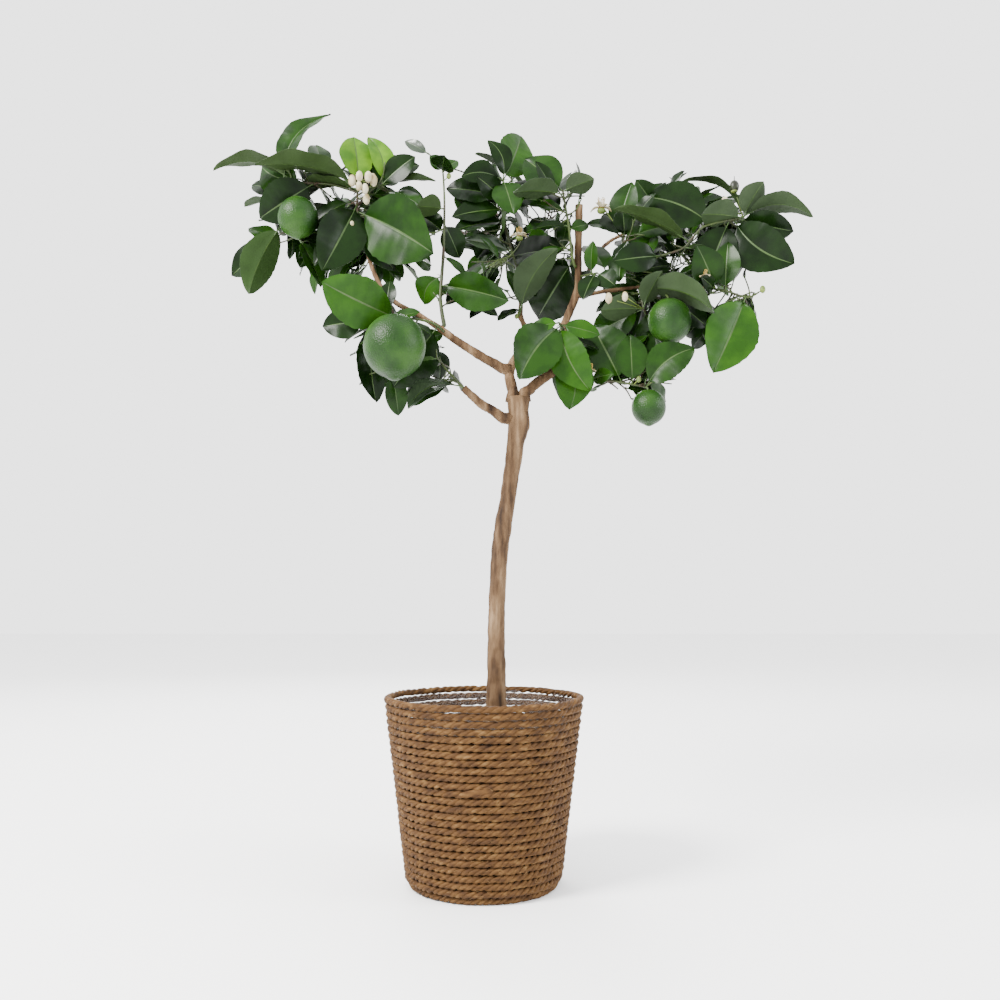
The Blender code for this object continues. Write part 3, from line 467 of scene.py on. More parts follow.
# %% Sizes that the notes use
GAP = 0.3 * MM
TRUNK_COURSE = (
    (12.5, 165.3, 29.0),
    (13.0, 178.0, 22.5),
    (13.2, 215.0, 20.0),
    (13.0, 262.0, 18.2),
    (15.0, 322.0, 17.6),
    (20.0, 372.0, 18.6),
    (25.5, 405.0, 16.6),
    (34.0, 465.0, 18.6),
    (37.5, 486.0, 25.0),
    (37.0, 499.0, 22.0),
    (37.0, 516.0, 24.5),
)
LEAF_STALK = 0.10
LEAF_WIDTH = 0.56
LEAF_OUTLINE = ((0.24, 0.70), (0.46, 1.0), (0.78, 0.76))
LEAF_THICKNESS = 0.022
LEAF_KEEL = 0.05
STALK_THICKNESS = 1.5 * MM
LIMB_STUB = 0.9
LIMB_SIDES = 7
TRUNK_SIDES = 12
GOLDEN_ANGLE = math.radians(137.5)
LEAF_TURN_ON_TWIG = math.radians(144.0)

# %% [markdown]
# Each kind of growth has its own short form. A leaf's turn is 0 where its upper face looks at the
# camera, 90 where it lies level and 180 where it shows its underside. Arch and sweep bow its
# midrib. Placed is what a leaf becomes once it has found room.

# %% The forms of the notes
Leaf = namedtuple("Leaf", "at right up back turn wide arch sweep", defaults=(LEAF_WIDTH, 0.06, 0.0))
Lime = namedtuple("Lime", "at right up back size", defaults=(40.0,))
Bud = namedtuple("Bud", "at right up back size", defaults=(8.0,))
Shoot = namedtuple("Shoot", "name parent at thick steps growth")
Limb = namedtuple("Limb", "name parent at thick course shift", defaults=(0.0,))
Placed = namedtuple("Placed", "mass base tip leaf")

# %% [markdown]
# ## The boughs' notes
# The trunk forks into two boughs just above its collar, and a third leaves its side. A cut stem
# stands upright in the crown.

# %% The boughs
LIMBS = (
    Limb("bough_left_low", "trunk", 0.932, (11.4, 7.8), ((11, 500, -6), (-5, 510, -11),
        (-23, 526.5, -18)), -0.5),
    Limb("bough_centre", "trunk", 1.0, (12.2, 5.0),
         ((29.5, 529, 3), (27.5, 542, 5), (31, 555, 8), (41, 572, 18), (46, 590, 24), (38.5, 606, 27)),
         -6.1),
    Limb("bough_left_high", "bough_centre", 0.30, (10.6, 7.6), ((7, 555.5, 0), (-18, 570.5, -7),
        (-49, 592.5, -15))),
    Limb("bough_left_outer", "bough_left_high", 1.0, (6.0, 3.8),
         ((-74, 609, -22), (-98, 622, -12), (-118, 646, 0), (-128, 672, 8), (-135, 700, 10))),
    Limb("bough_right", "trunk", 1.0, (11.4, 8.8),
         ((50, 525, 2), (61, 535, 4), (71, 541, 6), (80, 550, 9), (86, 572, 16), (88, 594, 20)), 6.3),
    Limb("upright_stem", "bough_right", 1.0, (8.6, 8.2),
         ((96, 617, 22), (103, 638, 22), (103.5, 668, 21), (105, 733, 20))),
    Limb("bough_right_low", "bough_right", 0.52, (5.4, 4.0), ((92, 541, 4), (106, 537, 3))),
    Limb("bough_right_high", "upright_stem", 0.28, (4.8, 3.8), ((128, 634, 16), (150, 637, 13),
        (173, 640, 8))),
    Limb("bough_right_far", "bough_right_high", 1.0, (3.6, 3.0), ((200, 641, 5), (226, 640, 3),
        (250, 638, 2))),
    Limb("bough_back", "bough_centre", 0.66, (6.2, 4.4), ((45, 590, 54), (40, 607, 78), (40, 636, 92),
        (37, 664, 112))),
    Limb("bough_back_right", "upright_stem", 0.30, (5.6, 3.8),
         ((112, 645, 56), (120, 672, 88), (140, 692, 110), (160, 702, 124))),
)

# %% [markdown]
# ## The crown's notes
# Each mass grows on one bough. Its shoots carry leaves, limes and buds at noted places. The last
# three masses are the back of the crown, where the rule alone sets the leaves.

# %% The crown
PLAN = {
    "foliage_left_top": ("bough_left_outer", 1.0, (
        Shoot("leader", None, 1.0, (3.4, 2.2), ((-6, 22, -2), (-1, 24, -4), (2, 13, -4)), (
            Leaf(0.97, -7, 54, 14, 15, 0.64), Leaf(0.92, -116, 24, -22, 118, 0.42, 0.10),
            Leaf(0.86, -67, 2, 14, 114, 0.42, 0.06), Leaf(0.82, -62, -13, 20, 100, 0.28, 0.12),
            Leaf(0.42, 84, -47, -34, -8, 0.68, 0.06, 0.04), Leaf(0.58, -38, -76, -22, -5, 0.58),
            Leaf(0.13, 37, -50, 14, 20, 0.60), Bud(1.0, -8, 2, -12, 11), Bud(1.0, 0, 7, -14, 10),
            Bud(1.0, 10, 6, -12, 11), Bud(1.0, 16, 2, -8, 11), Bud(0.96, 0, -2, -20, 9),
            Bud(0.94, 7, -4, -18, 10), Bud(0.70, 10, -2, -10, 10), Bud(0.30, -8, -8, -10, 9))),
        Shoot("right spur", "leader", 0.74, (2.4, 2.0), ((14, 8, -4), (13, 4, -4)), (
            Leaf(1.0, -16, 55, 8, 20, 0.44, 0.06, -0.12), Leaf(1.0, 37, 33, -12, 30, 0.62),
            Leaf(0.80, 24, 36, 16, 20, 0.70), Leaf(1.0, 60, 4, 12, 60, 0.30, 0.08),
            Bud(0.5, 4, 12, -6, 10))),
        Shoot("outer", "leader", 0.80, (2.8, 2.0), ((-30, 9, 8), (-30, 2, 2), (-22, 3, -4)), (
            Leaf(1.0, 51, 76, 20, 50, 0.34, 0.04, 0.16), Leaf(0.90, -88, 12, -12, 118, 0.40, 0.20),
            Leaf(0.75, -46, 18, -18, 15, 0.62, 0.06, 0.10), Leaf(0.60, -60, -40, -6, 8, 0.68))),
        Shoot("hanging", "outer", 0.72, (2.2, 1.8), ((-18, -24, 6), (-6, -24, 2), (18, -16, 4)), (
            Leaf(0.68, -36, -80, -18, 165, 0.44, 0.04, -0.05), Leaf(1.0, 26, -55, -8, 40, 0.40),
            Lime(0.30, 7, -21, -28, 44))),
    )),
    "foliage_left_fruit": ("bough_left_high", 0.95, (
        Shoot("leader", None, 1.0, (3.2, 2.2), ((-12, 9, -14), (-24, 5, -6), (-32, -1, 6), (-16, -2, 4)), (
            Leaf(0.12, -48, -68, 16, 4, 0.66), Leaf(0.62, -86, 42, -22, -16, 0.64),
            Leaf(1.0, -49, -6, 4, 16, 0.72),
            Leaf(0.97, 8, -91, 8, 28, 0.44, 0.06, -0.06), Lime(0.50, -16, -31, -34, 64))),
        Shoot("behind the lime", "leader", 0.40, (2.2, 1.8), ((-14, -34, 18), (-14, -24, 6)), (
            Leaf(1.0, 8, -49, 2, 15, 0.52), Leaf(0.55, -34, -30, 26, 40, 0.50))),
    )),
    "foliage_left_low": ("bough_left_low", 1.0, (
        Shoot("leader", None, 1.0, (3.0, 2.0), ((-12, 13, -4), (-11, 13, 2), (-8, 17, 6)), (
            Leaf(0.04, -59, -25, -20, 60, 0.50, 0.0, -0.20), Leaf(1.0, -26, 22, 24, 30, 0.50),
            Leaf(0.80, -40, -8, 26, 50, 0.50))),
    )),
    "foliage_left_upright": ("bough_left_high", 0.985, (
        Shoot("leader", None, 1.0, (4.6, 2.0), ((-3, 32, 2), (3, 48, 4), (1, 60, 4), (-2, 38, 2)), (
            Leaf(0.26, 75, -17, -34, -12, 0.48, 0.06, 0.04), Leaf(0.32, -19, -32, 16, 10, 0.76, 0.06, -0.22),
            Leaf(0.45, 25, -25, -6, 60, 0.44), Leaf(0.66, 17, -40, 20, 15, 0.70),
            Leaf(0.60, -24, 18, 22, 20, 0.60),
            Leaf(0.75, -31, 3, -22, 150, 0.80), Leaf(1.0, -15, 17, -10, 30, 0.80),
            Leaf(0.99, 16, 13, 8, 40, 0.80),
            Leaf(1.0, 2, 18, 0, 20, 0.80), Bud(0.93, 6, 6, -4, 6))),
        Shoot("top spur", "leader", 1.0, (1.8, 1.4), ((-8, 12, 2), (-8, 7, 4)),
        (Leaf(1.0, -27, 15, 8, 20, 0.40),)),
    )),
    "foliage_centre_top": ("bough_centre", 1.0, (
        Shoot("leader", None, 1.0, (3.8, 2.0), ((4, 30, 6), (-13, 46, -6), (-8, 40, -8), (-1, 40, -8)), (
            Leaf(0.02, 42, 74, -44, 148, 0.48, 0.06, 0.08), Leaf(0.05, -25, -13, -16, 60, 0.50),
            Leaf(0.47, -54, 14, -14, 40, 0.36), Leaf(0.50, -34, 6, 14, 15, 0.44),
            Leaf(0.69, -58, -10, -24, 55, 0.46),
            Leaf(0.78, -58, -8, -8, 40, 0.52), Leaf(0.87, -64, 10, 12, 40, 0.56),
            Leaf(0.86, -30, 26, -24, 15, 0.62),
            Leaf(1.0, 12, -40, -22, 10, 0.66), Leaf(0.99, -47, 5, -16, 20, 0.56, 0.06, -0.14),
            Leaf(1.0, -17, 46, -8, 20, 0.50, 0.06, -0.16), Leaf(0.99, 20, 52, 14, -20, 0.62),
            Bud(0.58, 12, 4, -14, 16), Bud(0.04, -4, -6, -5, 5))),
        Shoot("front spur", "leader", 0.44, (2.2, 1.8), ((-14, -4, -22), (-14, -8, -12)), (
            Leaf(1.0, -3, -16, -46, 100, 0.50), Leaf(0.6, -22, 26, -20, 60, 0.44))),
    )),
    "foliage_upright": ("upright_stem", 0.50, (
        Shoot("leader", None, 1.0, (3.6, 2.2), ((-4, 12, -6), (-4, 36, -6), (-6, 38, -4)), (
            Leaf(1.0, -42, 37, 14, 28, 0.72), Leaf(0.96, -55, 2, -22, 132, 0.50),
            Leaf(1.0, 35, 14, -20, 155, 0.70),
            Leaf(0.72, -45, 10, 8, 58, 0.44), Leaf(0.55, -40, -4, -6, 50, 0.34),
            Leaf(0.22, -80, -12, 2, 55, 0.48),
            Leaf(0.30, -34, -54, 4, 15, 0.60), Leaf(0.10, -40, -66, 12, 10, 0.62),
            Leaf(0.50, 22, 6, 26, 30, 0.60))),
    )),
    "foliage_upright_right": ("upright_stem", 0.42, (
        Shoot("leader", None, 1.0, (2.8, 2.0), ((8, 2, -10), (10, 2, -8)), (
            Leaf(1.0, 20, -14, -12, 20, 0.90), Leaf(0.7, 2, 38, -10, 30, 0.50),
            Leaf(0.9, -14, -30, -14, 25, 0.60))),
    )),
    "foliage_centre_low": ("bough_right", 0.93, (
        Shoot("leader", None, 1.0, (3.4, 2.2), ((-1, 4, -18), (-4, 6, -14)), (
            Leaf(1.0, -33, -7, 4, 32, 0.50), Leaf(0.75, -46, -60, -24, 0, 0.62, 0.06, -0.08),
            Leaf(0.90, 33, -75, -30, -6, 0.52, 0.06, -0.08), Leaf(0.80, 43, -11, -2, 25, 0.50))),
        Shoot("lower spur", "leader", 0.35, (2.4, 2.0), ((-2, -22, -8), (-2, -10, -2)), (
            Leaf(1.0, 10, -58, -4, 10, 0.72, 0.06, 0.18), Leaf(0.8, 8, -20, -46, 60, 0.50))),
    )),
    "foliage_right_low": ("bough_right_low", 1.0, (
        Shoot("leader", None, 1.0, (3.4, 2.0), ((34, -3, -6), (24, -4, -4), (13, -3, -2)), (
            Leaf(0.62, -32, 64, 14, 8, 0.74), Leaf(0.78, -2, 56, 4, 10, 0.66),
            Leaf(0.16, 24, 6, -22, 20, 0.50),
            Leaf(1.0, 54, 44, -16, 12, 0.62, 0.06, 0.12), Leaf(0.97, 30, 42, 26, 30, 0.60, 0.06, 0.10),
            Lime(0.99, 3, -22, -6, 37), Bud(0.14, 0, 12, -10, 12), Bud(0.08, 1, 5, -14, 9),
            Bud(0.80, 6, 6, -6, 6), Bud(0.99, 10, 9, -4, 6))),
    )),
    "foliage_right_mid": ("bough_right_high", 0.97, (
        Shoot("leader", None, 1.0, (2.8, 2.0), ((2, -8, -4), (2, -15, -6)), (
            Leaf(1.0, -47, -2, -20, 150, 0.62), Leaf(0.95, 22, 42, -16, 142, 0.68),
            Leaf(0.02, 83, -27, -26, 138, 0.40, 0.0, 0.14), Leaf(1.0, -56, -30, 18, 15, 0.60),
            Leaf(1.0, 16, -44, 24, 10, 0.70), Bud(1.0, -38, 12, -20, 10), Bud(1.0, -20, 14, -16, 9))),
        Shoot("lime spur", "leader", 0.7, (2.4, 2.0), ((16, 10, 4), (12, -2, 0)), (
            Leaf(1.0, 44, -36, 12, 15, 0.50), Lime(0.9, 5, -29, -20, 47))),
    )),
    "foliage_right_top": ("upright_stem", 0.335, (
        Shoot("leader", None, 1.0, (3.2, 2.2),
              ((24, 6, -6), (24, 12, -4), (38, 18, -8), (28, 10, -6), (22, 24, -4), (44, 10, 2)), (
            Leaf(0.48, -54, -6, -18, 12, 0.56), Leaf(0.66, -84, 38, -20, 118, 0.42),
            Leaf(0.62, 38, -14, -16, 110, 0.56), Leaf(0.82, -72, 32, 10, 10, 0.64, 0.06, -0.08),
            Leaf(1.0, -66, 42, 18, 105, 0.30, 0.04, -0.18), Leaf(1.0, -46, 4, -24, 150, 0.62),
            Leaf(1.0, 24, 42, -16, 142, 0.80), Leaf(0.99, 80, 2, -14, 135, 0.42, 0.0, 0.20),
            Leaf(0.97, 62, -14, -6, -8, 0.56), Leaf(0.95, 66, -50, -16, 0, 0.62, 0.06, -0.12),
            Leaf(0.92, -28, -70, 8, 10, 0.68), Leaf(0.40, 4, 34, 24, 20, 0.45), Bud(1.0, -9, 36, -2, 15),
            Bud(1.0, -20, 19, -10, 9))),
        Shoot("inner spur", "leader", 0.20, (2.4, 2.0), ((6, 24, 4), (4, 22, 4)), (
            Leaf(1.0, -2, 34, -12, 20, 0.80), Leaf(0.8, 34, 16, 6, 30, 0.62),
            Leaf(1.0, -22, 26, 16, 30, 0.75),
            Bud(1.0, -25, 36, -8, 20))),
    )),
    "foliage_right_hanging": ("bough_right_far", 1.0, (
        Shoot("leader", None, 1.0, (2.8, 1.8), ((20, -4, -8), (20, -6, -8), (13, 6, 0)), (
            Leaf(0.72, -38, -86, -34, -10, 0.56), Leaf(0.10, -20, 50, 16, 15, 0.66),
            Leaf(0.30, 4, 56, 12, 15, 0.60),
            Leaf(0.06, -14, 14, -26, 20, 0.50), Bud(0.10, -12, 17, -16, 14), Bud(1.0, 4, 3, -4, 7))),
    )),
    "foliage_back_left": ("bough_left_outer", 0.86, (
        Shoot("leader", None, 1.0, (3.6, 2.2), ((2, 4, 40), (8, 10, 44), (10, 4, 40), (12, -8, 30)), ()),
        Shoot("outer arm", "leader", 0.40, (2.6, 2.0), ((-26, 6, 24), (-26, 4, 20)), ()),
    )),
    "foliage_back_centre": ("bough_back", 1.0, (
        Shoot("leader", None, 1.0, (4.0, 2.2), ((-8, 26, 20), (-14, 30, 20), (-10, 26, 14)), ()),
        Shoot("left arm", "leader", 0.30, (2.8, 2.0), ((-30, 8, 22), (-32, 6, 18)), ()),
        Shoot("right arm", "leader", 0.35, (2.8, 2.0), ((28, 12, 16), (26, 20, 10)), ()),
    )),
    "foliage_back_right": ("bough_back_right", 1.0, (
        Shoot("leader", None, 1.0, (3.4, 2.2), ((26, 8, 20), (34, 6, 18), (34, 2, 6)), ()),
        Shoot("lower arm", "leader", 0.30, (2.8, 2.0), ((20, -20, 18), (26, -26, 12)), ()),
        Shoot("lowest arm", "lower arm", 0.60, (2.6, 2.0), ((-10, -34, -8), (-8, -34, -10)), ()),
    )),
}

# %% [markdown]
# ## From notes to places
# These functions give a place from a note, a smooth line through places, and a spot on that line.

# %% Places and lines
def seen(flat):
    """The place at depth flat[2] that looks to be at (right, up) in the trunk's plane, in mm."""
    right, up, back = flat
    share = (back * MM - EYE.y) / -EYE.y
    x = EYE.x + (right * MM - EYE.x) * share
    z = EYE.z + (up * MM - EYE.z) * share
    return Vector((x, back * MM, z))


def add(a, b):
    return tuple(p + q for p, q in zip(a, b))


def smooth_course(points, steps):
    """Points along a curve through the given points, and how far along each one is, 0 to 1."""
    padded = [points[0] * 2 - points[1]] + list(points) + [points[-1] * 2 - points[-2]]
    course = []
    for i in range(1, len(padded) - 2):
        a, b, c, d = padded[i - 1:i + 3]
        for k in range(steps):
            t = k / steps
            course.append(0.5 * (2 * b + (c - a) * t + (2 * a - 5 * b + 4 * c - d) * t ** 2
                                 + (3 * b - a - 3 * c + d) * t ** 3))
    course.append(points[-1].copy())
    run = [0.0]
    for here, there in zip(course, course[1:]):
        run.append(run[-1] + (there - here).length)
    return course, [r / run[-1] for r in run]


def along(course, shares, at):
    """The point and the direction at a share of a course's length."""
    for i in range(len(course) - 1):
        if shares[i + 1] >= at or i == len(course) - 2:
            part = (at - shares[i]) / (shares[i + 1] - shares[i])
            return course[i].lerp(course[i + 1], part), (course[i + 1] - course[i]).normalized()


def flat_along(points, at):
    """A place on a shoot's plan, in mm as seen, at a share of its length."""
    runs = [math.dist(a, b) for a, b in zip(points, points[1:])]
    left = at * sum(runs)
    for a, b, run in zip(points, points[1:], runs):
        if left <= run + 1e-9:
            return tuple(p + (q - p) * left / run for p, q in zip(a, b))
        left -= run
    return points[-1]


def flat_of(point):
    """The plan's numbers for a place in the crown: what seen() undoes."""
    share = (point.y - EYE.y) / -EYE.y
    return ((EYE.x + (point.x - EYE.x) / share) / MM, (EYE.z + (point.z - EYE.z) / share) / MM, point.y / MM)

# %% [markdown]
# ## Plain shapes that find room
# Before a leaf is made in detail, a plain leaf of a few faces tests whether it hangs free. A leaf
# that meets another swings back or forward, and one that finds no room is left out.

# %% Plain shapes
def tube(course, radii, sides):
    """Vertices and faces of a round tube with flat ends."""
    verts = []
    across = (course[1] - course[0]).orthogonal().normalized()
    for i, (point, radius) in enumerate(zip(course, radii)):
        ahead = course[min(i + 1, len(course) - 1)] - course[max(i - 1, 0)]
        ahead.normalize()
        across = (across - ahead * across.dot(ahead)).normalized()
        over = ahead.cross(across)
        for k in range(sides):
            angle = 2 * math.pi * k / sides
            verts.append(point + (across * math.cos(angle) + over * math.sin(angle)) * radius)
    faces = [tuple(reversed(range(sides)))]
    for i in range(len(course) - 1):
        for k in range(sides):
            a, b = i * sides + k, i * sides + (k + 1) % sides
            faces.append((a, b, b + sides, a + sides))
    last = (len(course) - 1) * sides
    faces.append(tuple(range(last, last + sides)))
    return verts, faces


def leaf_frame(base, tip, turn):
    """The leaf's length, its direction, its sideways direction and its upper face's direction."""
    axis = tip - base
    length = axis.length
    axis.normalize()
    front = (EYE - base).normalized()
    face = (front - axis * front.dot(axis)).normalized()
    upward = 1 if axis.cross(face).z >= 0 else -1
    face = Matrix.Rotation(math.radians(turn) * upward, 3, axis) @ face
    return length, axis, axis.cross(face), face


def leaf_shape(base, tip, leaf):
    """Vertices and faces of a leaf: a stalk from base, then a blade keeled along its midrib."""
    length, axis, side, face = leaf_frame(base, tip, leaf.turn)
    half = length * leaf.wide / 2
    thick = max(length * LEAF_THICKNESS, 1.2 * MM)
    stalk = STALK_THICKNESS / 2
    leftward = axis.cross(Vector((0, 1, 0)))

    def on_rib(share):
        bow = 4 * share * (1 - share)
        return base + axis * length * share + (face * leaf.arch + leftward * leaf.sweep) * length * bow

    verts = []
    for share, wide, deep in ((0.0, stalk, stalk * 2), (LEAF_STALK, stalk, stalk * 2)):
        middle = on_rib(share)
        verts += [middle - side * wide, middle + face * deep / 2, middle + side * wide,
            middle - face * deep / 2]
    for share, wide in LEAF_OUTLINE:
        middle = on_rib(share)
        keel = face * LEAF_KEEL * length * wide
        verts += [middle - side * half * wide + keel, middle + face * thick / 2,
                  middle + side * half * wide + keel, middle - face * thick / 2]
    verts.append(on_rib(1.0))
    faces = [(3, 2, 1, 0)]
    for ring in range(1 + len(LEAF_OUTLINE)):
        for k in range(4):
            a, b = ring * 4 + k, ring * 4 + (k + 1) % 4
            faces.append((a, b, b + 4, a + 4))
    last = len(verts) - 1
    for k in range(4):
        faces.append((last - 4 + k, last - 4 + (k + 1) % 4, last))
    return verts, faces


def ball_shape(middle, across, tall, rings, sides):
    """Vertices and faces of a lime or a bud: a round body with a small point below."""
    verts = [middle + Vector((0, 0, tall / 2))]
    for i in range(1, rings):
        angle = math.pi * i / rings
        radius = across / 2 * math.sin(angle)
        for k in range(sides):
            turn = 2 * math.pi * k / sides
            spoke = Vector((math.cos(turn), math.sin(turn), 0))
            verts.append(middle + spoke * radius + Vector((0, 0, tall / 2 * math.cos(angle))))
    verts.append(middle - Vector((0, 0, tall / 2 * 1.06)))
    faces = [(0, 1 + k, 1 + (k + 1) % sides) for k in range(sides)]
    for i in range(rings - 2):
        for k in range(sides):
            a, b = 1 + i * sides + k, 1 + i * sides + (k + 1) % sides
            faces.append((a, a + sides, b + sides, b))
    last = len(verts) - 1
    faces += [(last, last - sides + (k + 1) % sides, last - sides + k) for k in range(sides)]
    return verts, faces


def tree_of(shape):
    return BVHTree.FromPolygons([tuple(v) for v in shape[0]], shape[1])


def blade_only(shape):
    """The blade without its stalk, a little thicker, so that what passes this test stays clear."""
    verts, faces = shape
    keep = verts[8:]
    swollen = []
    for i, v in enumerate(keep[:-1]):
        ring = keep[i - i % 4:i - i % 4 + 4]
        middle = sum(ring, Vector()) / 4
        swollen.append(v + (v - middle).normalized() * 0.6 * MM)
    swollen.append(keep[-1])
    first = [(3, 2, 1, 0)]
    rest = [tuple(i - 8 for i in face) for face in faces if min(face) >= 8]
    return swollen, first + rest


# %% Limbs on their carriers
def root_on(limb, at, towards):
    """Where a limb or stem starts, a hair clear of the limb that carries it, and its first heading."""
    course, shares, radii = limb
    point, heading = along(course, shares, at)
    if at >= 1.0:
        return course[-1] + heading * GAP, heading
    radius = radii[0] + (radii[-1] - radii[0]) * at
    for i in range(len(shares) - 1):
        if shares[i] <= at <= shares[i + 1]:
            part = (at - shares[i]) / (shares[i + 1] - shares[i])
            radius = radii[i] + (radii[i + 1] - radii[i]) * part
    out = towards - point
    out = (out - heading * out.dot(heading)).normalized()
    return point + out * (radius + GAP), out


def grow_limb(limb, grown):
    """Course, shares and radii of one tapering limb on the limb that carries it."""
    start, heading = root_on(grown[limb.parent], limb.at, seen(limb.course[0]))
    start.x += limb.shift * MM
    first, last = (t * MM / 2 for t in limb.thick)
    points = [start, start + heading * first * LIMB_STUB] + [seen(p) for p in limb.course]
    course, shares = smooth_course(points, 2)
    course[1] = start + heading * (course[1] - start).length
    return course, shares, [first + (last - first) * s for s in shares]


# %% The crown so far
class Crown:
    """All that has grown so far, for keeping shoots and leaves off each other."""

    def __init__(self, limbs):
        self.limbs = limbs
        self.stems = []
        self.blades = []
        self.leaves = []
        self.twigs = []
        self.limes = []
        self.buds = []

    def free(self, whole, blade, mass, twig):
        """Whether a piece stays clear of other masses and the limbs, and its blade of its own mass too."""
        if any(whole.overlap(limb) for limb in self.limbs):
            return False
        for owner, name, stem in self.stems:
            if owner != mass and whole.overlap(stem):
                return False
            if owner == mass and name != twig and blade.overlap(stem):
                return False
        for owner, other_whole, other_blade in self.blades:
            if owner != mass and (whole.overlap(other_whole) or whole.overlap(other_blade)):
                return False
            if owner == mass and blade.overlap(other_blade):
                return False
        return True

    def keep(self, mass, whole, blade):
        self.blades.append((mass, whole, blade))

    def hidden(self, points, screen):
        """Whether the leaves of the plan hide every one of these points from the front."""
        for point in points:
            ray = point - EYE
            hit = screen.ray_cast(EYE, ray.normalized(), ray.length - 3 * MM)
            if hit[0] is None:
                return False
        return True


# %% Growth from the notes
def grow_shoot(crown, mass, shoot, roots, limb):
    """One shoot's solid, and its plan for what grows on it."""
    if shoot.parent is None:
        at = PLAN[mass][1]
        carrier = flat_of(along(limb[0], limb[1], at)[0])
        start, heading = root_on(limb, at, seen(add(carrier, shoot.steps[0])))
        flat = [flat_of(start)]
        lead = [start, start + heading * shoot.thick[0] * MM * 0.6]
    else:
        flat = [flat_along(roots[shoot.parent], shoot.at)]
        lead = [seen(flat[0])]
    for step in shoot.steps:
        flat.append(add(flat[-1], step))
    course, shares = smooth_course(lead + [seen(f) for f in flat[1:]], 2)
    if shoot.parent is None:
        course[1] = start + heading * (course[1] - start).length
    first, last = (t * MM / 2 for t in shoot.thick)
    shape = tube(course, [first + (last - first) * s for s in shares], 5 if shoot.parent is None else 3)
    roots[shoot.name] = flat
    crown.stems.append((mass, shoot.name, tree_of(shape)))
    radii = [first + (last - first) * s for s in shares]
    crown.twigs.append((mass, course, radii))
    return shape


def grow_leaf(crown, mass, twig, flat, leaf):
    """A leaf that swings back or forward until it hangs free, or nothing."""
    root = flat_along(flat, leaf.at)
    for swing in SWINGS:
        tip = add(root, (leaf.right, leaf.up, leaf.back + swing))
        shape = leaf_shape(seen(root), seen(tip), leaf)
        whole, blade = tree_of(shape), tree_of(blade_only(shape))
        if crown.free(whole, blade, mass, twig):
            crown.keep(mass, whole, blade)
            crown.leaves.append(Placed(mass, seen(root), seen(tip), leaf))
            return [shape]
    return []


def grow_lime(crown, mass, flat, lime):
    """A lime and the stalk that it hangs from."""
    root = flat_along(flat, lime.at)
    middle = seen(add(root, (lime.right, lime.up, lime.back)))
    size = lime.size * MM
    body = ball_shape(middle, size, size * 1.04, 7, 10)
    top = middle + Vector((0, 0, size * 0.46))
    course = [seen(root), seen(root).lerp(top, 0.5) + Vector((0, 0, size * 0.06)), top]
    crown.keep(mass, tree_of(body), tree_of(body))
    crown.limes.append((mass, middle, size, course))
    return [body, tube(course, [1.1 * MM, 1.0 * MM, 1.4 * MM], 4)]


def grow_bud(crown, mass, twig, flat, bud):
    """A bud or bloom and its short stalk, where it hangs free."""
    root = flat_along(flat, bud.at)
    middle = seen(add(root, (bud.right, bud.up, bud.back)))
    body = ball_shape(middle, bud.size * MM, bud.size * MM * 1.25, 3, 5)
    tree = tree_of(body)
    crown.buds.append((mass, seen(root), middle, bud.size))
    if not crown.free(tree, tree, mass, twig):
        return []
    crown.keep(mass, tree, tree)
    start = seen(root).lerp(middle, -0.08)
    return [body, tube([start, start.lerp(middle, 0.5), middle], [0.8 * MM] * 3, 3)]


def grow_plan(crown, mass, grown):
    """The shapes of one mass that the plan names, and the shoots that the rule may grow on."""
    limb_name, _, shoots = PLAN[mass]
    shapes, roots = [], {}
    for shoot in shoots:
        shapes.append(grow_shoot(crown, mass, shoot, roots, grown[limb_name]))
    for shoot in shoots:
        for item in shoot.growth:
            if isinstance(item, Lime):
                shapes += grow_lime(crown, mass, roots[shoot.name], item)
    for shoot in shoots:
        for item in shoot.growth:
            if isinstance(item, Leaf):
                shapes += grow_leaf(crown, mass, shoot.name, roots[shoot.name], item)
            elif isinstance(item, Bud):
                shapes += grow_bud(crown, mass, shoot.name, roots[shoot.name], item)
    return shapes, roots


# %% [markdown]
# ## The rule behind the notes
# Twigs leave the shoots by the golden angle and carry leaves in a spiral, wherever the leaves of
# the notes hide them from the front. So the crown is full from all sides, and its outline from the
# front stays the noted one.

# %% The rule
RULE_SEED = 41
RULE_TRIES = 60
RULE_LEAVES_PER_TWIG = 4
RULE_TWIG_LENGTH = (24.0, 52.0)
RULE_LEAF_LENGTH = (62.0, 90.0)
RULE_TWIG_THICKNESS = (2.0, 1.5)
SWINGS = (0, 8, -8, 16, -16, 24, -24, 34, -34, 46, -46, 60, -60)


def own_space(point, mass, middles):
    """Whether a place is nearer to this mass's middle than to any other's."""
    own = (point - middles[mass]).length
    return all(own <= (point - middle).length + 0.012 for middle in middles.values())


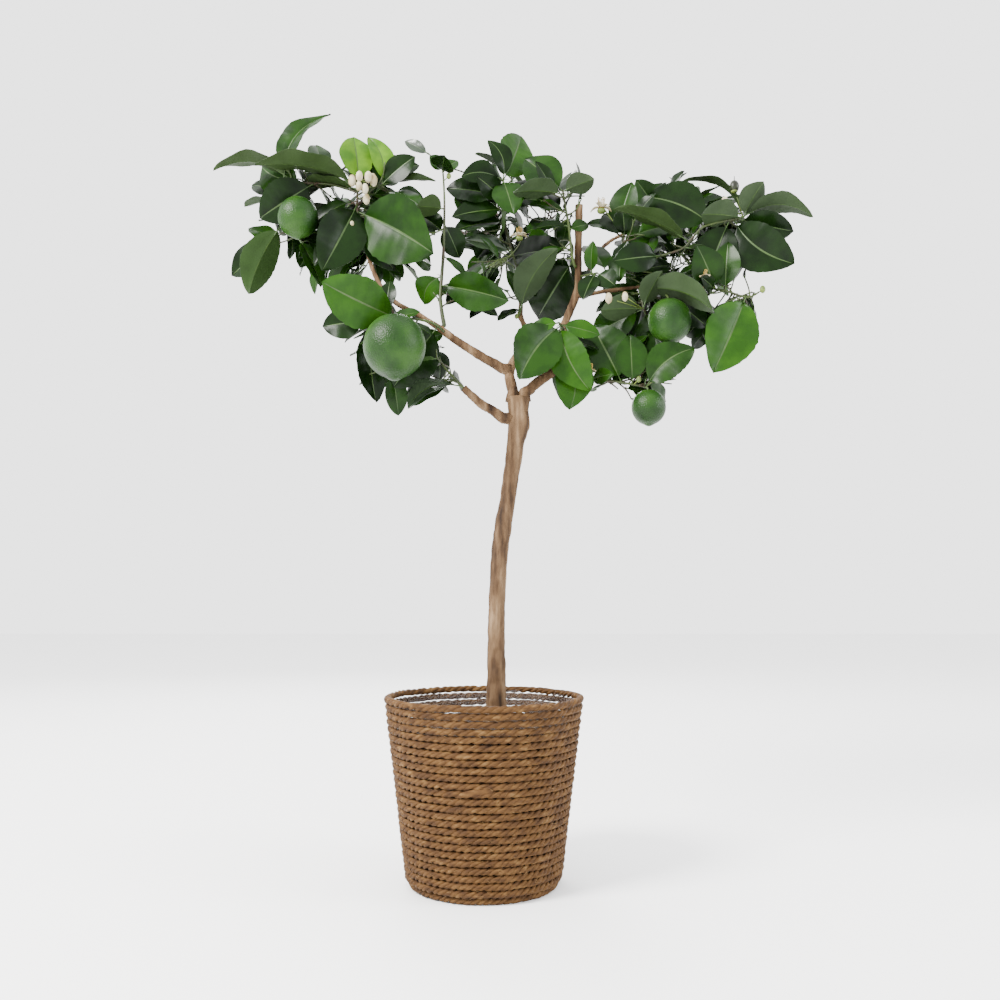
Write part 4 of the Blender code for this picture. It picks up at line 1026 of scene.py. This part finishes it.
def grow_rule(crown, mass, roots, screen, middles, rng):
    """Side twigs with leaves in a spiral, where the plan's leaves hide them from the front."""
    shapes = []
    names = list(roots)
    for number in range(RULE_TRIES):
        parent = names[number % len(names)]
        at = 0.15 + 0.83 * rng.random()
        root = seen(flat_along(roots[parent], at))
        bearing = number * GOLDEN_ANGLE + rng.uniform(-0.3, 0.3)
        rise = math.radians(rng.uniform(-30, 62))
        heading = Vector((math.cos(bearing) * math.cos(rise), math.sin(bearing) * math.cos(rise),
            math.sin(rise)))
        length = rng.uniform(*RULE_TWIG_LENGTH) * MM
        bend = heading.orthogonal().normalized() * length * rng.uniform(-0.12, 0.12)
        end = root + heading * length
        course = [root, root + heading * length * 0.5 + bend, end]
        radii = [t * MM / 2 for t in (RULE_TWIG_THICKNESS[0], 1.8, RULE_TWIG_THICKNESS[1])]
        shape = tube(course, radii, 3)
        probe = tube([root.lerp(course[1], 0.25), course[1], end], [1.6 * MM] * 3, 3)
        twig = "rule %d" % number
        if not (own_space(end, mass, middles) and crown.hidden([course[1], end], screen)):
            continue
        if not crown.free(tree_of(probe), tree_of(probe), mass, parent):
            continue
        leaves = []
        side = heading.orthogonal().normalized()
        for k in range(RULE_LEAVES_PER_TWIG):
            share = 0.35 + 0.65 * k / (RULE_LEAVES_PER_TWIG - 1)
            turned = Matrix.Rotation(k * LEAF_TURN_ON_TWIG + rng.uniform(-0.3, 0.3), 3, heading) @ side
            spread = math.radians(rng.uniform(38, 70) if k < RULE_LEAVES_PER_TWIG - 1 else rng.uniform(5,
                25))
            pointing = heading * math.cos(spread) + turned * math.sin(spread) - Vector((0, 0, 0.12))
            reach = rng.uniform(*RULE_LEAF_LENGTH) * MM
            base = root.lerp(course[1], share * 2) if share < 0.5 else course[1].lerp(end, share * 2 - 1)
            tip = base + pointing.normalized() * reach
            leaf = Leaf(share, 0, 0, 0, rng.uniform(50, 115), rng.uniform(0.46, 0.58))
            grown_leaf = leaf_shape(base, tip, leaf)
            test = blade_only(grown_leaf)
            if not (own_space(tip, mass, middles) and crown.hidden(test[0], screen)):
                continue
            whole, blade = tree_of(grown_leaf), tree_of(test)
            if crown.free(whole, blade, mass, twig):
                leaves.append(grown_leaf)
                crown.leaves.append(Placed(mass, base, tip, leaf))
                crown.keep(mass, whole, blade)
        if leaves:
            crown.twigs.append((mass, course, radii))
            crown.stems.append((mass, twig, tree_of(shape)))
            shapes += [shape] + leaves
    return shapes


# %% [markdown]
# ## Finer twigs
# The solids stop at the main leaves. The real crown goes on: short side shoots with small leaves
# fill the shade between the large ones. They grow from the same shoots, by the golden angle again,
# within the reach of their own mass, and mostly behind its leaves, so the sky stays where it was.

# %% Finer twigs
FINER_TRIES = 420
FINER_TWIG_LENGTH = (14, 40)
FINER_LEAF_LENGTH = (34, 64)
FINER_LEAVES = 3
FINER_HIDDEN_SHARE = 0.46


def hidden_share(points, screen):
    """How much of a shape the noted leaves hide from the front."""
    return sum(crown.hidden([point], screen) for point in points) / len(points)


def inside(points, low, high):
    return all(low[i] < point[i] < high[i] for point in points for i in range(3))


def grow_finer(mass, roots, screen, middles, rng):
    low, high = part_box(mass)
    names = list(roots)
    for number in range(FINER_TRIES):
        parent = names[number % len(names)]
        root = seen(flat_along(roots[parent], 0.10 + 0.90 * rng.random()))
        bearing = number * GOLDEN_ANGLE + rng.uniform(-0.4, 0.4)
        rise = math.radians(rng.uniform(-40, 65))
        heading = Vector((math.cos(bearing) * math.cos(rise), math.sin(bearing) * math.cos(rise),
            math.sin(rise)))
        length = rng.uniform(*FINER_TWIG_LENGTH) * MM
        end = root + heading * length
        course = [root, root + heading * length * 0.5 + heading.orthogonal() * length * 0.08, end]
        probe = tree_of(tube([root.lerp(end, 0.3), root.lerp(end, 0.6), end], [0.9 * MM] * 3, 3))
        if not crown.free(probe, probe, mass, parent):
            continue
        side = heading.orthogonal().normalized()
        placed = 0
        for k in range(FINER_LEAVES):
            share = 0.45 + 0.55 * k / (FINER_LEAVES - 1)
            turned = Matrix.Rotation(k * LEAF_TURN_ON_TWIG + rng.uniform(-0.5, 0.5), 3, heading) @ side
            spread = math.radians(rng.uniform(35, 75) if k < FINER_LEAVES - 1 else rng.uniform(5, 25))
            pointing = heading * math.cos(spread) + turned * math.sin(spread) - Vector((0, 0, 0.15))
            base = root.lerp(course[1], share * 2) if share < 0.5 else course[1].lerp(end, share * 2 - 1)
            tip = base + pointing.normalized() * rng.uniform(*FINER_LEAF_LENGTH) * MM
            leaf = Leaf(share, 0, 0, 0, rng.uniform(20, 110), rng.uniform(0.46, 0.62))
            shape = leaf_shape(base, tip, leaf)
            test = blade_only(shape)
            if not inside(shape[0], low, high) or hidden_share(test[0], screen) < FINER_HIDDEN_SHARE:
                continue
            whole, blade = tree_of(shape), tree_of(test)
            if crown.free(whole, blade, mass, "finer %d" % number):
                crown.keep(mass, whole, blade)
                crown.leaves.append(Placed(mass, base, tip, leaf))
                placed += 1
        if placed:
            crown.stems.append((mass, "finer %d" % number, probe))
            crown.twigs.append((mass, course, [0.95 * MM, 0.85 * MM, 0.7 * MM]))


# %% Growing the tree
trunk_points = [Vector((right * MM, 0, up * MM)) for right, up, _ in TRUNK_COURSE]
trunk_points[0].x = trunk_points[1].x
trunk_course, trunk_shares = smooth_course(trunk_points, 2)
trunk_widths = [thick * MM / 2 for _, _, thick in TRUNK_COURSE]
trunk_radii = []
for i in range(len(trunk_course)):
    low = min(i // 2, len(trunk_widths) - 2)
    trunk_radii.append(trunk_widths[low] + (trunk_widths[low + 1] - trunk_widths[low]) * (i / 2 - low))
grown = {"trunk": (trunk_course, trunk_shares, trunk_radii)}
limb_shapes = [tube(trunk_course, trunk_radii, TRUNK_SIDES)]
for limb in LIMBS:
    grown[limb.name] = grow_limb(limb, grown)
    limb_shapes.append(tube(grown[limb.name][0], grown[limb.name][2], LIMB_SIDES))
crown = Crown([tree_of(shape) for shape in limb_shapes])
plan_shapes, roots, middles = {}, {}, {}
for mass in PLAN:
    plan_shapes[mass], roots[mass] = grow_plan(crown, mass, grown)
    points = [v for shape in plan_shapes[mass] for v in shape[0]]
    middles[mass] = sum(points, Vector()) / len(points)
screen = BVHTree.FromPolygons(*merge([shape for mass in PLAN for shape in plan_shapes[mass]]))
rule_rng = random.Random(RULE_SEED)
for mass in PLAN:
    grow_rule(crown, mass, roots[mass], screen, middles, rule_rng)
print("leaves that the solids have:", len(crown.leaves))
finer_rng = random.Random(17)
for mass in PLAN:
    grow_finer(mass, roots[mass], screen, middles, finer_rng)
print("leaves:", len(crown.leaves), "twigs:", len(crown.twigs), "limes:", len(crown.limes),
    "buds:", len(crown.buds))

# %% [markdown]
# ## Bark
# Young lime bark is smooth from afar, but it has shallow fissures that run up the stem, and lumps
# where old buds sat. Each limb is a tube of many sides whose points move in and out by two noises:
# one drawn out upwards for the fissures, and a coarser one for the lumps. A limb starts inside its
# carrier and swells there into a collar, so the fork looks grown.

# %% The bark
BARK_STEP = 1.3 * MM
BARK_SIDES = 30
TRUNK_BARK_SIDES = 52
FISSURE_DEPTH = 0.70 * MM
LUMP_HEIGHT = 0.75 * MM
COLLAR_SWELL = 0.30


def limb_skin(name, course, radii):
    """A fine tube along a limb, with a collar at its start and relief all over."""
    mean_step = sum((b - a).length for a, b in zip(course, course[1:])) / (len(course) - 1)
    pieces = max(2, math.ceil(mean_step / BARK_STEP))
    line, _ = smooth_course(list(course), pieces)
    widths = []
    for i in range(len(line)):
        low = min(i // pieces, len(radii) - 2)
        widths.append(radii[low] + (radii[low + 1] - radii[low]) * (i / pieces - low))
    if name != "trunk":
        heading = (line[1] - line[0]).normalized()
        line = [line[0] - heading * radii[0] * 0.8] + line
        widths = [widths[0]] + widths
    sides = TRUNK_BARK_SIDES if name == "trunk" else BARK_SIDES
    verts, faces = tube(line, widths, sides)
    run = 0.0
    for i, middle in enumerate(line):
        if i:
            run += (middle - line[i - 1]).length
        collar = COLLAR_SWELL * math.exp(-run / (radii[0] * 1.5)) if name != "trunk" else 0.0
        for k in range(i * sides, (i + 1) * sides):
            spot = verts[k]
            outward = (spot - middle).normalized()
            fissure = noise.noise(Vector((spot.x * 520, spot.y * 520, spot.z * 85)))
            lump = noise.noise(spot * 85) + 0.5 * noise.noise(spot * 190)
            relief = FISSURE_DEPTH * min(fissure * 1.6, 0.2) + LUMP_HEIGHT * lump * min(1.0,
                widths[i] / 0.006)
            verts[k] = spot + outward * (relief + collar * widths[i])
    return verts, faces


bark_material, bark_tree, bark_shader = surface("bark", (0.20, 0.12, 0.07), 0.8, 0.2)
coloured(bark_tree, bark_shader, grain(bark_tree, 95.0, (1.0, 1.0, 0.22), 10.0),
         ((0.015, 0.0070, 0.0028), (0.052, 0.0275, 0.0118), (0.098, 0.057, 0.0275),
         (0.170, 0.110, 0.060)), 0.32, 0.68)
raised(bark_tree, bark_shader, grain(bark_tree, 420.0, (1.0, 1.0, 0.30), 5.0), 0.6, 0.0008)
bark_shapes = [limb_skin(name, course, radii) for name, (course, shares, radii) in grown.items()]
bark = piece("bark_limbs", *merge(bark_shapes), [bark_material], "bark")
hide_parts(*grown)

# %% The cut top of the upright stem
cut_material, cut_tree, cut_shader = surface("cut_wood", (0.40, 0.30, 0.18), 0.8)
coloured(cut_tree, cut_shader, grain(cut_tree, 300.0), ((0.24, 0.16, 0.08), (0.48, 0.37, 0.22)))
stem_course, _, stem_radii = grown["upright_stem"]
stem_heading = (stem_course[-1] - stem_course[-2]).normalized()
cut_line = [stem_course[-1] - stem_heading * 1.0 * MM, stem_course[-1] + stem_heading * 0.25 * MM]
piece("cut_top", *tube(cut_line, [stem_radii[-1] * 0.9] * 2, 20), [cut_material], "bark", smooth=False)

# %% [markdown]
# ## Twigs and leaf stalks
# Green twigs are thin tubes with a slight wobble. Small side buds sit on them at each leaf, and a
# short spine here and there, as on real lime shoots.

# %% The twigs
TWIG_SIDES = 7
twig_rng = random.Random(23)
twig_shapes = []
for _, course, radii in crown.twigs:
    line, _ = smooth_course(list(course), 3)
    fine = []
    for i in range(len(line)):
        low = min(i // 3, len(radii) - 2)
        swell = 1 + 0.10 * noise.noise(line[i] * 260)
        fine.append((radii[low] + (radii[low + 1] - radii[low]) * (i / 3 - low)) * swell)
    twig_shapes.append(tube(line, fine, TWIG_SIDES))
for placed in crown.leaves:
    _, axis, side, face = leaf_frame(placed.base, placed.tip, placed.leaf.turn)
    bud_tip = placed.base + (axis * 0.6 + face * 0.8).normalized() * 2.8 * MM
    twig_shapes.append(tube([placed.base, placed.base.lerp(bud_tip, 0.5),
        bud_tip], [0.9 * MM, 0.8 * MM, 0.2 * MM], 5))
    if twig_rng.random() < 0.35:
        spine_tip = placed.base + (side * twig_rng.choice((-1, 1)) + axis * 0.2).normalized() * 6.0 * MM
        twig_shapes.append(tube([placed.base, placed.base.lerp(spine_tip, 0.5),
            spine_tip], [0.55 * MM, 0.4 * MM, 0.1 * MM], 5))
twig_material, twig_tree, twig_shader = surface("green_twig", (0.10, 0.13, 0.035), 0.5)
coloured(twig_tree, twig_shader, grain(twig_tree, 40.0),
         ((0.024, 0.013, 0.005), (0.017, 0.026, 0.0050), (0.034, 0.054, 0.0085)), 0.36, 0.62)
raised(twig_tree, twig_shader, grain(twig_tree, 700.0), 0.3, 0.0004)
piece("green_twigs", *merge(twig_shapes), [twig_material], "foliage")

# %% [markdown]
# ## One leaf
# A lime leaf is a shallow boat: the blade rises from the midrib to its edges, is quilted between
# its side veins, waves a little at the margin, and has small rounded teeth there. It is thin but
# has two faces: a glossy dark upper one and a paler dull one below. The stripe along the midrib is
# paler still, so those faces have their own finish.

# %% A leaf in detail
LEAF_ROWS = 22
SMALL_LEAF_ROWS = 12
SMALL_LEAF = 66 * MM
LEAF_COLUMNS = (-1.0, -0.72, -0.40, -0.10, -0.035, 0.035, 0.10, 0.40, 0.72, 1.0)
RIB_COLUMN = 4
TEETH = 13
TOOTH_DEPTH = 0.022
QUILT_HEIGHT = 0.007
EDGE_WAVE = 0.012
EDGE_WAVES = 2.2
RIB_SINK = 0.004
SIDE_VEINS = 8
SHEET = 0.32 * MM


def blade_width(share):
    """Half width at a share of the blade, 1 at its widest."""
    return max(math.sin(math.pi * min(share, 1.0) ** 0.90), 0.0) ** 0.70


def leaf_blade(placed, rng):
    """Vertices, faces and finish numbers (0 upper, 1 lower, 2 midrib) of one leaf and its stalk."""
    leaf = placed.leaf
    length, axis, side, face = leaf_frame(placed.base, placed.tip, leaf.turn)
    half = length * leaf.wide / 2
    leftward = axis.cross(Vector((0, 1, 0)))
    phase = rng.uniform(0, 6.28)
    curl = rng.uniform(-0.03, 0.05)
    wave = rng.uniform(0.6, 1.5)
    verts, faces, finish = [], [], []
    columns = len(LEAF_COLUMNS)
    rows = LEAF_ROWS if length > SMALL_LEAF else SMALL_LEAF_ROWS
    for layer in (1, -1):
        for row in range(rows + 1):
            blade_share = row / rows
            share = LEAF_STALK + (1 - LEAF_STALK) * blade_share
            bow = 4 * share * (1 - share)
            middle = placed.base + axis * length * share
            middle += (face * leaf.arch + leftward * leaf.sweep) * length * bow
            width = blade_width(blade_share) * half
            tooth = 1 + TOOTH_DEPTH * math.sin(2 * math.pi * TEETH * blade_share + phase) * (width / half)
            for across in LEAF_COLUMNS:
                out = abs(across)
                rise = LEAF_KEEL * length * (width / half) * out
                quilt = QUILT_HEIGHT * length * math.sin(2 * math.pi * (SIDE_VEINS * blade_share - 0.9 * out))
                rise += quilt * 4 * out * (1 - out) * (width / half)
                ripple = math.sin(2 * math.pi * EDGE_WAVES * blade_share + phase + across)
                rise += EDGE_WAVE * length * wave * ripple * out ** 2
                rise += curl * length * (blade_share - 0.5) ** 2 * 2 * out
                if out < 0.05:
                    rise -= RIB_SINK * length
                edge = 0.35 if out > 0.99 else 1.0
                verts.append(middle + side * across * width * (tooth if out > 0.9 else 1)
                             + face * (rise + layer * SHEET * edge * (0.2 if row in (0, rows) else 1)))
    count = (rows + 1) * columns
    for row in range(rows):
        for k in range(columns - 1):
            a = row * columns + k
            rib = k == RIB_COLUMN
            faces.append((a, a + columns, a + columns + 1, a + 1))
            finish.append(2 if rib else 0)
            faces.append((a + count, a + count + 1, a + count + columns + 1, a + count + columns))
            finish.append(2 if rib else 1)
        left = row * columns
        right = left + columns - 1
        faces.append((left, left + count, left + count + columns, left + columns))
        faces.append((right, right + columns, right + count + columns, right + count))
        finish += [0, 0]
    for k in range(columns - 1):
        top = rows * columns + k
        faces.append((k, k + 1, k + 1 + count, k + count))
        faces.append((top, top + count, top + 1 + count, top + 1))
        finish += [1, 1]
    stalk = [placed.base - axis * 1.0 * MM]
    for share in (LEAF_STALK * 0.5, LEAF_STALK * 1.25, LEAF_STALK * 2.2):
        bow = 4 * share * (1 - share)
        spot = placed.base + axis * length * share + (face * leaf.arch + leftward * leaf.sweep) * length * bow
        stalk.append(spot - face * 0.25 * MM)
    stalk_verts, stalk_faces = tube(stalk, [0.95 * MM, 0.75 * MM, 0.75 * MM, 0.3 * MM], 6)
    faces += [tuple(i + len(verts) for i in f) for f in stalk_faces]
    finish += [2] * len(stalk_faces)
    verts += stalk_verts
    return verts, faces, finish


# %% [markdown]
# ## The leaves' tones
# Most leaves are a deep glossy green. A few near the tips are young and bright, and those seen from below are
# pale.
# Some that turn their face to the light have a greyer, paler base colour: a painted sheen, on top of a
# stronger real shine. Each tone is one finish, dealt out leaf by leaf, and the notes name the leaves that
# have a tone of their own.

# %% Tones
TONES = {
    "deep": ((0.0016, 0.0062, 0.0007), (0.0036, 0.0130, 0.0013), 0.30, 0.07),
    "middle": ((0.0038, 0.0160, 0.0010), (0.0080, 0.0300, 0.0016), 0.32, 0.08),
    "fresh": ((0.0080, 0.0340, 0.0010), (0.0140, 0.0520, 0.0018), 0.36, 0.08),
    "young": ((0.024, 0.078, 0.0015), (0.062, 0.145, 0.0035), 0.45, 0.12),
    # The next tone's greyer, paler base colours are a painted sheen of reflected light; only its higher shine
    # is real.
    "painted_sheen": ((0.0090, 0.0190, 0.0080), (0.0220, 0.0360, 0.0175), 0.28, 0.42),
    "pale": ((0.0100, 0.0240, 0.0045), (0.0180, 0.0360, 0.0080), 0.48, 0.10),
}
YOUNG_LEAVES = {(-7, 54), (-16, 55)}
FRESH_LEAVES = {(-86, 42), (-19, -32), (-33, -7), (43, -11), (10, -58), (33, -75), (20, 52), (-38, -86),
    (4, 34)}
# Leaves that face the light and get the painted sheen in their base colour.
PAINTED_SHEEN_LEAVES = {(-55, 2), (35, 14), (-47, -2), (22, 42), (83, -27), (-46, 4), (24, 42), (80, 2), (-27, 15),
                 (-59, -25), (-54, 14), (42, 74)}
PALE_LEAVES = {(-116, 24), (-67, 2), (-62, -13), (-88, 12), (-31, 3), (60, 4), (-84, 38)}
DEEP_LEAVES = {(-60, -40), (-38, -76), (37, 33), (24, 36), (-58, -8), (-34, 6), (-47, 5), (-17, 46),
    (-40, -66),
               (-72, 32), (66, -50), (-28, -70), (36, -47), (-48, -68), (-49, -6), (8, -91), (37, -50)}
MIDDLE_LEAVES = {(84, -47), (-36, -80), (51, 76), (75, -17), (4, 56), (-46, -60), (8, -20), (24, 6)}


def tone_of(leaf, rng):
    reach = (leaf.right, leaf.up)
    for names, tone in ((YOUNG_LEAVES, "young"), (FRESH_LEAVES, "fresh"), (PAINTED_SHEEN_LEAVES, "painted_sheen"),
                        (PALE_LEAVES, "pale"), (DEEP_LEAVES, "deep"), (MIDDLE_LEAVES, "middle")):
        if reach in names:
            return tone
    return "deep" if rng.random() < 0.5 else "middle"


def upper_finish(name, dark, light, roughness, shine):
    material, tree, shader = surface("leaf_%s_upper" % name, light, roughness, shine)
    coloured(tree, shader, grain(tree, 45.0, detail=4.0), (dark, light), 0.38, 0.62)
    raised(tree, shader, grain(tree, 750.0, detail=3.0), 0.18, 0.0003)
    shader.inputs["Coat Weight"].default_value = 0.04
    shader.inputs["Coat Roughness"].default_value = 0.25
    return material


def lower_finish(name, light):
    colour = tuple(0.55 * c + 0.45 * p for c, p in zip(light, (0.022, 0.042, 0.010)))
    material, tree, shader = surface("leaf_%s_lower" % name, colour, 0.6, 0.15)
    coloured(tree, shader, grain(tree, 60.0), (tuple(c * 0.8 for c in colour), colour))
    raised(tree, shader, grain(tree, 500.0), 0.25, 0.0004)
    return material


rib_material, rib_tree, rib_shader = surface("leaf_midrib", (0.060, 0.110, 0.022), 0.45)
coloured(rib_tree, rib_shader, grain(rib_tree, 80.0), ((0.015, 0.038, 0.0050), (0.032, 0.062, 0.0100)))
raised(rib_tree, rib_shader, grain(rib_tree, 600.0), 0.2, 0.0003)

# %% The leaves
LEAVES_PER_PIECE = 200
leaf_rng = random.Random(5)
leaf_parts = {tone: [] for tone in TONES}
for placed in crown.leaves:
    tone = tone_of(placed.leaf, leaf_rng)
    leaf_parts[tone].append(leaf_blade(placed, leaf_rng))
leaf_pieces = []
for tone, parts in leaf_parts.items():
    dark, light, roughness, shine = TONES[tone]
    materials = [upper_finish(tone, dark, light, roughness, shine), lower_finish(tone, light), rib_material]
    for first in range(0, len(parts), LEAVES_PER_PIECE):
        some = parts[first:first + LEAVES_PER_PIECE]
        verts, faces = merge([(v, f) for v, f, _ in some])
        finish = [number for _, _, numbers in some for number in numbers]
        name = "leaves_%s_%d" % (tone, first // LEAVES_PER_PIECE + 1)
        leaf_pieces.append(piece(name, verts, faces, materials, "foliage", face_slots=finish))
        leaf_pieces[-1].data.set_sharp_from_angle(angle=math.radians(60))
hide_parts(*PLAN)

# %% [markdown]
# ## The limes
# A young lime is a little longer than wide, with a small nipple below and a dimple under its star
# of sepals. Its skin is full of oil glands, which a fine cell pattern raises as pebbles.

# %% The limes
LIME_RINGS = 40
LIME_SIDES = 48


def lime_body(middle, size):
    verts, faces = [middle + Vector((0, 0, size * 0.49))], []
    for i in range(1, LIME_RINGS):
        angle = math.pi * i / LIME_RINGS
        radius = size / 2 * math.sin(angle) ** 0.96
        height = size * 0.52 * math.cos(angle)
        if angle > 2.75:
            height -= size * 0.045 * math.sin((angle - 2.75) / 0.39 * math.pi / 2) ** 2
        if angle < 0.35:
            height -= size * 0.030 * (1 - angle / 0.35)
        for k in range(LIME_SIDES):
            turn = 2 * math.pi * k / LIME_SIDES
            lump = 1 + 0.012 * noise.noise(Vector((math.cos(turn), math.sin(turn),
                angle)) * 1.6 + middle * 40)
            verts.append(middle + Vector((radius * lump * math.cos(turn), radius * lump * math.sin(turn),
                height)))
    verts.append(middle - Vector((0, 0, size * 0.565)))
    for k in range(LIME_SIDES):
        faces.append((0, 1 + k, 1 + (k + 1) % LIME_SIDES))
    for i in range(LIME_RINGS - 2):
        for k in range(LIME_SIDES):
            a = 1 + i * LIME_SIDES + k
            b = 1 + i * LIME_SIDES + (k + 1) % LIME_SIDES
            faces.append((a, a + LIME_SIDES, b + LIME_SIDES, b))
    last = len(verts) - 1
    for k in range(LIME_SIDES):
        faces.append((last, last - LIME_SIDES + (k + 1) % LIME_SIDES, last - LIME_SIDES + k))
    return verts, faces


def calyx(top, size):
    """A flat star of five sepals with a short neck."""
    verts, faces = [top + Vector((0, 0, size * 0.045))], []
    points = 20
    for level in (0.020, -0.012):
        for k in range(points):
            turn = 2 * math.pi * k / points
            reach = size * (0.085 + 0.045 * math.cos(5 * turn))
            verts.append(top + Vector((reach * math.cos(turn), reach * math.sin(turn), size * level)))
    verts.append(top - Vector((0, 0, size * 0.03)))
    last = len(verts) - 1
    for k in range(points):
        n = (k + 1) % points
        faces += [(0, 1 + k, 1 + n), (1 + k, 1 + points + k, 1 + points + n, 1 + n),
            (last, 1 + points + n, 1 + points + k)]
    return verts, faces


lime_material, lime_tree, lime_shader = surface("lime_skin", (0.010, 0.03, 0.005), 0.38, 0.14)
coloured(lime_tree, lime_shader, grain(lime_tree, 28.0),
         ((0.0030, 0.0150, 0.0010), (0.0070, 0.0290, 0.0022), (0.0165, 0.0520, 0.0048)), 0.34, 0.66)
lime_glands = lime_tree.nodes.new("ShaderNodeTexVoronoi")
lime_glands.inputs["Scale"].default_value = 620.0
lime_place = lime_tree.nodes.new("ShaderNodeTexCoord")
lime_tree.links.new(lime_place.outputs["Object"], lime_glands.inputs["Vector"])
raised(lime_tree, lime_shader, lime_glands.outputs["Distance"], 0.6, 0.0006)
lime_shader.inputs["Coat Weight"].default_value = 0.04
lime_shader.inputs["Coat Roughness"].default_value = 0.3
piece("limes", *merge([lime_body(middle, size) for _, middle, size, _ in crown.limes]),
    [lime_material], "foliage")
stem_shapes = []
for _, middle, size, course in crown.limes:
    stem_shapes.append(calyx(middle + Vector((0, 0, size * 0.47)), size))
    line, _ = smooth_course(course, 5)
    stem_shapes.append(tube(line, [1.1 * MM] * len(line), 8))
calyx_material, calyx_tree, calyx_shader = surface("lime_calyx", (0.14, 0.20, 0.06), 0.55)
coloured(calyx_tree, calyx_shader, grain(calyx_tree, 120.0), ((0.016, 0.025, 0.006), (0.042, 0.068, 0.016)))
raised(calyx_tree, calyx_shader, grain(calyx_tree, 700.0), 0.25, 0.0003)
piece("lime_stems", *merge(stem_shapes), [calyx_material], "foliage")

# %% [markdown]
# ## Buds and blossom
# Lime buds are cream ovals in a green cup, some still small and green. An open flower has five
# waxy petals that curl back round a ring of stamens. A withered one leaves a dark little fruit with
# a spike.

# %% Buds and blossom
OPEN_FLOWERS = {16, 20, 14, 12}
FRUITLET_SIZE = 15
GREEN_BUD_LIMIT = 7


def petal(middle, bearing, size, lift):
    """A long petal that rises, then curls back."""
    outward = Vector((math.cos(bearing), math.sin(bearing), 0))
    across = Vector((-math.sin(bearing), math.cos(bearing), 0))
    verts, faces = [], []
    rows = 8
    for layer in (0.16, -0.16):
        for row in range(rows + 1):
            share = row / rows
            wide = size * 0.22 * math.sin(math.pi * (0.12 + 0.82 * share)) ** 0.8
            spot = middle + outward * size * (0.08 + 0.78 * share)
            spot += Vector((0, 0, size * (lift * share - 0.55 * share ** 2.4)))
            for k in (-1, 0, 1):
                cup = abs(k) * size * 0.07
                verts.append(spot + across * wide * k + Vector((0, 0, cup + layer * MM)))
    count = (rows + 1) * 3
    for row in range(rows):
        for k in range(2):
            a = row * 3 + k
            faces.append((a, a + 3, a + 4, a + 1))
            faces.append((a + count, a + count + 1, a + count + 4, a + count + 3))
        left, right = row * 3, row * 3 + 2
        faces.append((left, left + count, left + count + 3, left + 3))
        faces.append((right, right + 3, right + count + 3, right + count))
    for k in range(2):
        top = rows * 3 + k
        faces.append((k, k + 1, k + 1 + count, k + count))
        faces.append((top, top + count, top + 1 + count, top + 1))
    return verts, faces


cream_shapes, green_shapes, stamen_shapes, dark_shapes = [], [], [], []
bloom_rng = random.Random(11)
for _, root, middle, size in crown.buds:
    width = size * MM
    green_shapes.append(tube([root, root.lerp(middle, 0.5), middle], [0.6 * MM, 0.55 * MM, 0.8 * MM], 6))
    green_shapes.append(ball_shape(middle - Vector((0, 0, width * 0.34)), width * 0.52, width * 0.34, 6, 10))
    if size == FRUITLET_SIZE:
        dark_shapes.append(ball_shape(middle, width * 0.72, width * 0.95, 12, 16))
        dark_shapes.append(tube([middle, middle + Vector((0.2 * MM, 0, width * 0.8))], [0.7 * MM,
            0.4 * MM], 6))
    elif size in OPEN_FLOWERS:
        first = bloom_rng.uniform(0, 1.2)
        for k in range(5):
            lift = bloom_rng.uniform(0.25, 0.8)
            cream_shapes.append(petal(middle - Vector((0, 0, width * 0.2)),
                first + k * 2 * math.pi / 5, width * 0.72, lift))
        for k in range(14):
            turn = 2 * math.pi * k / 14
            lean = Vector((math.cos(turn), math.sin(turn), 0)) * width * 0.13
            top = middle + lean * 1.5 + Vector((0, 0, width * bloom_rng.uniform(0.26, 0.40)))
            stamen_shapes.append(tube([middle - Vector((0, 0, width * 0.2)) + lean, top], [0.3 * MM,
                0.25 * MM], 4))
            stamen_shapes.append(ball_shape(top, 0.9 * MM, 1.6 * MM, 4, 6))
    elif size > GREEN_BUD_LIMIT:
        cream_shapes.append(ball_shape(middle, width * 0.78, width * 1.22, 14, 18))
    else:
        green_shapes.append(ball_shape(middle, width * 0.9, width * 1.2, 10, 12))
cream_material, cream_tree, cream_shader = surface("petal_cream", (0.78, 0.74, 0.58), 0.5)
coloured(cream_tree, cream_shader, grain(cream_tree, 110.0), ((0.24, 0.19, 0.085), (0.42, 0.38, 0.26)),
    0.36, 0.60)
raised(cream_tree, cream_shader, grain(cream_tree, 500.0), 0.2, 0.0003)
piece("blossom_cream", *merge(cream_shapes), [cream_material], "foliage")
green_material, green_tree, green_shader = surface("bud_green", (0.24, 0.32, 0.09), 0.5)
coloured(green_tree, green_shader, grain(green_tree, 120.0), ((0.045, 0.075, 0.012), (0.13, 0.175, 0.032)))
raised(green_tree, green_shader, grain(green_tree, 600.0), 0.2, 0.0003)
piece("blossom_cups", *merge(green_shapes), [green_material], "foliage")
stamen_material, stamen_tree, stamen_shader = surface("stamen_yellow", (0.55, 0.36, 0.08), 0.6)
coloured(stamen_tree, stamen_shader, grain(stamen_tree, 300.0), ((0.22, 0.12, 0.02), (0.45, 0.32, 0.08)))
piece("blossom_stamens", *merge(stamen_shapes), [stamen_material], "foliage")
dark_material, dark_tree, dark_shader = surface("fruitlet_dark", (0.035, 0.045, 0.015), 0.4)
coloured(dark_tree, dark_shader, grain(dark_tree, 200.0), ((0.005, 0.006, 0.0025), (0.014, 0.020, 0.006)))
raised(dark_tree, dark_shader, grain(dark_tree, 900.0), 0.3, 0.0003)
piece("fruitlets", *merge(dark_shapes), [dark_material], "foliage")
